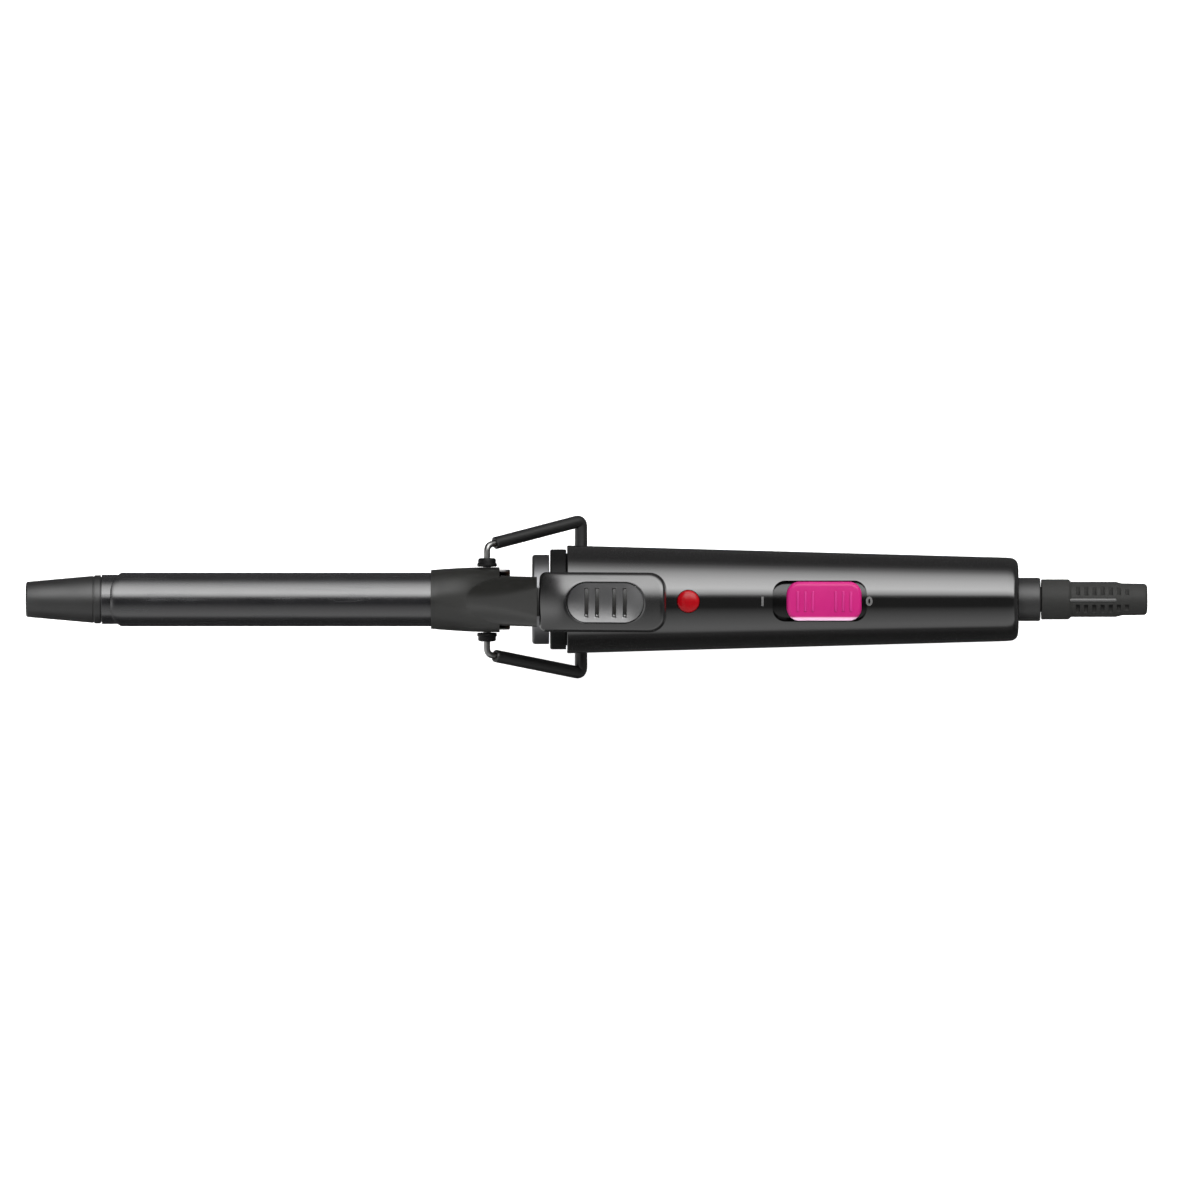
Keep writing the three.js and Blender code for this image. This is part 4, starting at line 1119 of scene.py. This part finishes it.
def make_lens():
    """A low dome through the handle's top, with a flange inside that holds it."""
    rise, fall = 1.2, 1.3
    flange_r, flange_top, flange_bottom = 4.3, 12.8, 11.9
    top = handle_r(LENS_X)
    profile = []
    for degrees in range(0, 86, 5):
        angle = math.radians(degrees)
        profile.append((top + rise - fall * (1 - math.cos(angle)), LENS_R * math.sin(angle), 0))
    profile += [
        (top - 0.3, LENS_R, 0.1), (flange_top, LENS_R, 0), (flange_top, flange_r, 0.1),
        (flange_bottom, flange_r, 0.1), (flange_bottom, 0, 0),
    ]
    lens = turned(profile, 64, "z", (LENS_X, 0))
    place("indicator_lens_dome", lens, "red_lens", "iron", ["indicator_lens"])


def on_handle(x, y, lift):
    """A point that stands a little above the handle's curved top."""
    return (x, y, math.sqrt(handle_r(x) ** 2 - y * y) + lift)


def make_marks():
    """The switch's plain position marks: a bar for on and an open ring for off."""
    half_long, half_wide, line = 1.5, 1.05, 0.7
    low, high = -0.05, 0.04
    bar_steps, ring_steps = 12, 40
    bar_x = SLOT_FRONT - 3.2
    bar_loops = []
    for i in range(bar_steps + 1):
        y = half_long * (2 * i / bar_steps - 1)
        corners = ((-1, low), (-1, high), (1, high), (1, low))
        bar_loops.append([on_handle(bar_x + side * line / 2, y, lift) for side, lift in corners])
    place("mark_on", loft(bar_loops), "mark_grey", "iron")
    ring_x = SLOT_END + 0.8
    ring_loops = []
    for i in range(ring_steps):
        angle = 2 * math.pi * i / ring_steps
        section = []
        for size, lift in ((0, low), (0, high), (line, high), (line, low)):
            x = ring_x + (half_wide - size) * math.cos(angle)
            section.append(on_handle(x, (half_long - size) * math.sin(angle), lift))
        ring_loops.append(section)
    place("mark_off", loft(ring_loops, closed=True), "mark_grey", "iron")


# ---- cord swivel ----
def make_swivel():
    """A hollow nose that turns in the handle's end, held by a flange."""
    bore = 4.3
    flange_front, flange_end, flange_r = 308.5, 311.5, 9.2
    nose = turned([
        (flange_front + 0.5, bore, 0), (flange_front, bore, 0.1), (flange_front, flange_r, 0.3),
        (flange_end, flange_r, 0.3), (flange_end, NOSE_R, 0.3), (NOSE_END, NOSE_R, 0.5),
        (NOSE_END, bore, 0.2), (flange_front + 0.5, bore, 0),
    ], 96)
    place("swivel_nose_shell", nose, "swivel_black", "cord_swivel", ["swivel_nose"])


def make_relief():
    """A rubber boot with a thicker root, a bead along its top and bottom, and rows of short slots."""
    plug_front, plug_r = 317, 4
    body_end = 346
    thin_r = 5.1
    body = turned([
        (plug_front + 3, CORD_BORE_R, 0), (plug_front, CORD_BORE_R, 0.1), (plug_front, plug_r, 0.1),
        (NOSE_END + GAP, plug_r, 0), (NOSE_END + GAP, ROOT_R, 0.3), (ROOT_END, ROOT_R, 0.7),
        (ROOT_END + 0.8, RELIEF_R, 0.4), (body_end, RELIEF_R, 1), (body_end + 2, thin_r, 1),
        (RELIEF_END, thin_r - 0.1, 1.2), (RELIEF_END, CORD_BORE_R, 0.4), (plug_front + 3, CORD_BORE_R, 0),
    ], 96, pitch=3)
    beads = []
    for face in (-1, 1):
        z = face * (RELIEF_R - 0.1)
        beads.append(turned(bar(ROOT_END - 2, body_end, 0.55, 0.3), 24, "x", (0, z), WHOLE))
    slots = []
    near, far, floor = 1.5, 4.6, 3.7
    slot_front, slot_pitch, slot_width = 333.2, 2.6, 1.3
    for i in range(7):
        x = slot_front + i * slot_pitch
        for side in (-1, 1):
            for face in (-1, 1):
                y0, y1 = sorted((side * near, side * far))
                z0, z1 = sorted((face * floor, face * (floor + 4)))
                slots.append(block(x, x + slot_width, y0, y1, z0, z1))
    relief = bevelled(combined(body, slots), 0.12, 2, 50)
    place("strain_relief_boot", relief, "relief_rubber", "cord_swivel", ["strain_relief"])
    # The beads take the paler rubber, a painted highlight line along the boot's top and bottom.
    place("strain_relief_beads", joined(beads), "rubber_painted_highlight", "cord_swivel")


def paint_inner_nodes():
    """The sealed inner nodes keep their CAD shape and take their slot's material."""
    for part in frame["record"]["subparts"]:
        node = frame["nodes"].get(part["node"])
        if node is None or node.hide_render:
            continue
        material = MATERIALS[part["material_slot"]]
        node.data.materials.clear()
        node.data.materials.append(material)


# ---- studio ----
# Light around the iron, as (degrees from straight up towards +Y, brightness).
LIGHT_RING = (
    (-180, 0.1), (-100, 0.12), (-84, 0.35), (-76, 1.9), (-66, 2.0), (-50, 1.6), (-36, 1.1), (-24, 0.5),
    (-19, 0.15), (4, 0.12), (9, 1.5), (12, 5), (19, 9), (26, 12), (47, 9.5), (63, 6.5), (79, 2.2), (90, 0.6),
    (100, 0.3), (180, 0.1),
)
LIGHT_SCALE = 0.55
# Light beyond the tip, as (Y part of the direction, brightness), and beyond the cord's end.
FRONT_LIGHT = ((-1, 0.6), (-0.6, 0.95), (-0.3, 1.7), (0, 0.95), (0.2, 0.3), (0.4, 0.04), (1, 0.04))
REAR_LIGHT = 0.2
# The parts of a direction along the iron between which those two fade in.
FRONT_FADE = (0.25, 0.33)
REAR_FADE = (0.6, 0.85)


def painted(nodes, value, table):
    """The brightness that a table of (place, brightness) gives at a value."""
    low, high = table[0][0], table[-1][0]
    peak = max(bright for _, bright in table)
    ramp = nodes.add("ValToRGB", {"Fac": nodes.spread(value, low, high)})
    elements = ramp.color_ramp.elements
    while len(elements) > 1:
        elements.remove(elements[-1])
    for i, (spot, bright) in enumerate(table):
        position = (spot - low) / (high - low)
        element = elements[0] if i == 0 else elements.new(position)
        element.position = position
        element.color = (bright / peak, bright / peak, bright / peak, 1)
    return nodes.math("MULTIPLY", ramp.outputs["Color"], peak)


def make_light():
    """Long soft boxes that run beside the iron, painted on the sky."""
    world = bpy.data.worlds.new("studio")
    bpy.context.scene.world = world
    world.use_nodes = True
    nodes = Nodes(world.node_tree)
    direction = nodes.add("TexCoord").outputs["Generated"]
    parts = nodes.add("SeparateXYZ", {"Vector": direction}).outputs
    around = nodes.math("ARCTAN2", parts["Y"], parts["Z"])
    around = nodes.math("MULTIPLY_ADD", around, 180 / math.pi, -math.degrees(VIEW_LEAN))
    side = nodes.math("MULTIPLY", painted(nodes, around, LIGHT_RING), LIGHT_SCALE)
    backward = nodes.math("MULTIPLY", parts["X"], -1.0)
    at_front = nodes.spread(backward, *FRONT_FADE, kind="SMOOTHSTEP")
    at_rear = nodes.spread(parts["X"], *REAR_FADE, kind="SMOOTHSTEP")
    front = painted(nodes, parts["Y"], FRONT_LIGHT)
    sky = nodes.blend(at_rear, nodes.blend(at_front, side, front), REAR_LIGHT)
    background = world.node_tree.nodes["Background"]
    world.node_tree.links.new(sky, background.inputs["Strength"])
    background.inputs["Color"].default_value = (1, 1, 1, 1)


def paper(name, mesh, shade, glow):
    """A plain pale piece of the stage."""
    material = bpy.data.materials.new(f"{name}_paper")
    material.use_nodes = True
    bsdf = material.node_tree.nodes["Principled BSDF"]
    color = (shade, shade, shade, 1)
    set_inputs(bsdf, {"Base Color": color, "Emission Color": color})
    set_inputs(bsdf, {"Roughness": 0.9, "Emission Strength": glow})
    mesh.materials.append(material)
    return in_scene(name, mesh)


def make_floor():
    """A pale floor, low enough that it never hides the opened stand, inside a pale dome."""
    size = 12
    spare = 0.5
    leg = (Vector((STAND_CORNER.x, 0, STAND_CORNER.z)) - PIVOT).length + SLEEVE_R
    level = row(*PIVOT).z - (leg + spare) * MM
    corners = [(-size, -size, level), (size, -size, level), (size, size, level), (-size, size, level)]
    floor = paper("floor", mesh_of(corners, [(0, 1, 2, 3)]), 0.8, 0.9)
    floor.visible_glossy = False
    work = bmesh.new()
    bmesh.ops.create_icosphere(work, subdivisions=4, radius=size * 0.95)
    sphere = bpy.data.meshes.new("backdrop")
    work.to_mesh(sphere)
    work.free()
    dome = paper("backdrop", sphere, 0.9, 1.0)
    for rays in ("diffuse", "glossy", "transmission", "shadow"):
        setattr(dome, f"visible_{rays}", False)


make_camera()
make_light()
make_floor()
make_tip()
make_barrel()
make_clamp_plate()
make_lever_arm()
make_pad()
make_grip()
make_pad_screw()
make_spring()
make_bracket()
make_pivots()
make_stand()
make_collars()
make_top_shell()
make_bottom_shell()
make_screws()
make_button()
make_lens()
make_marks()
make_swivel()
make_relief()
paint_inner_nodes()
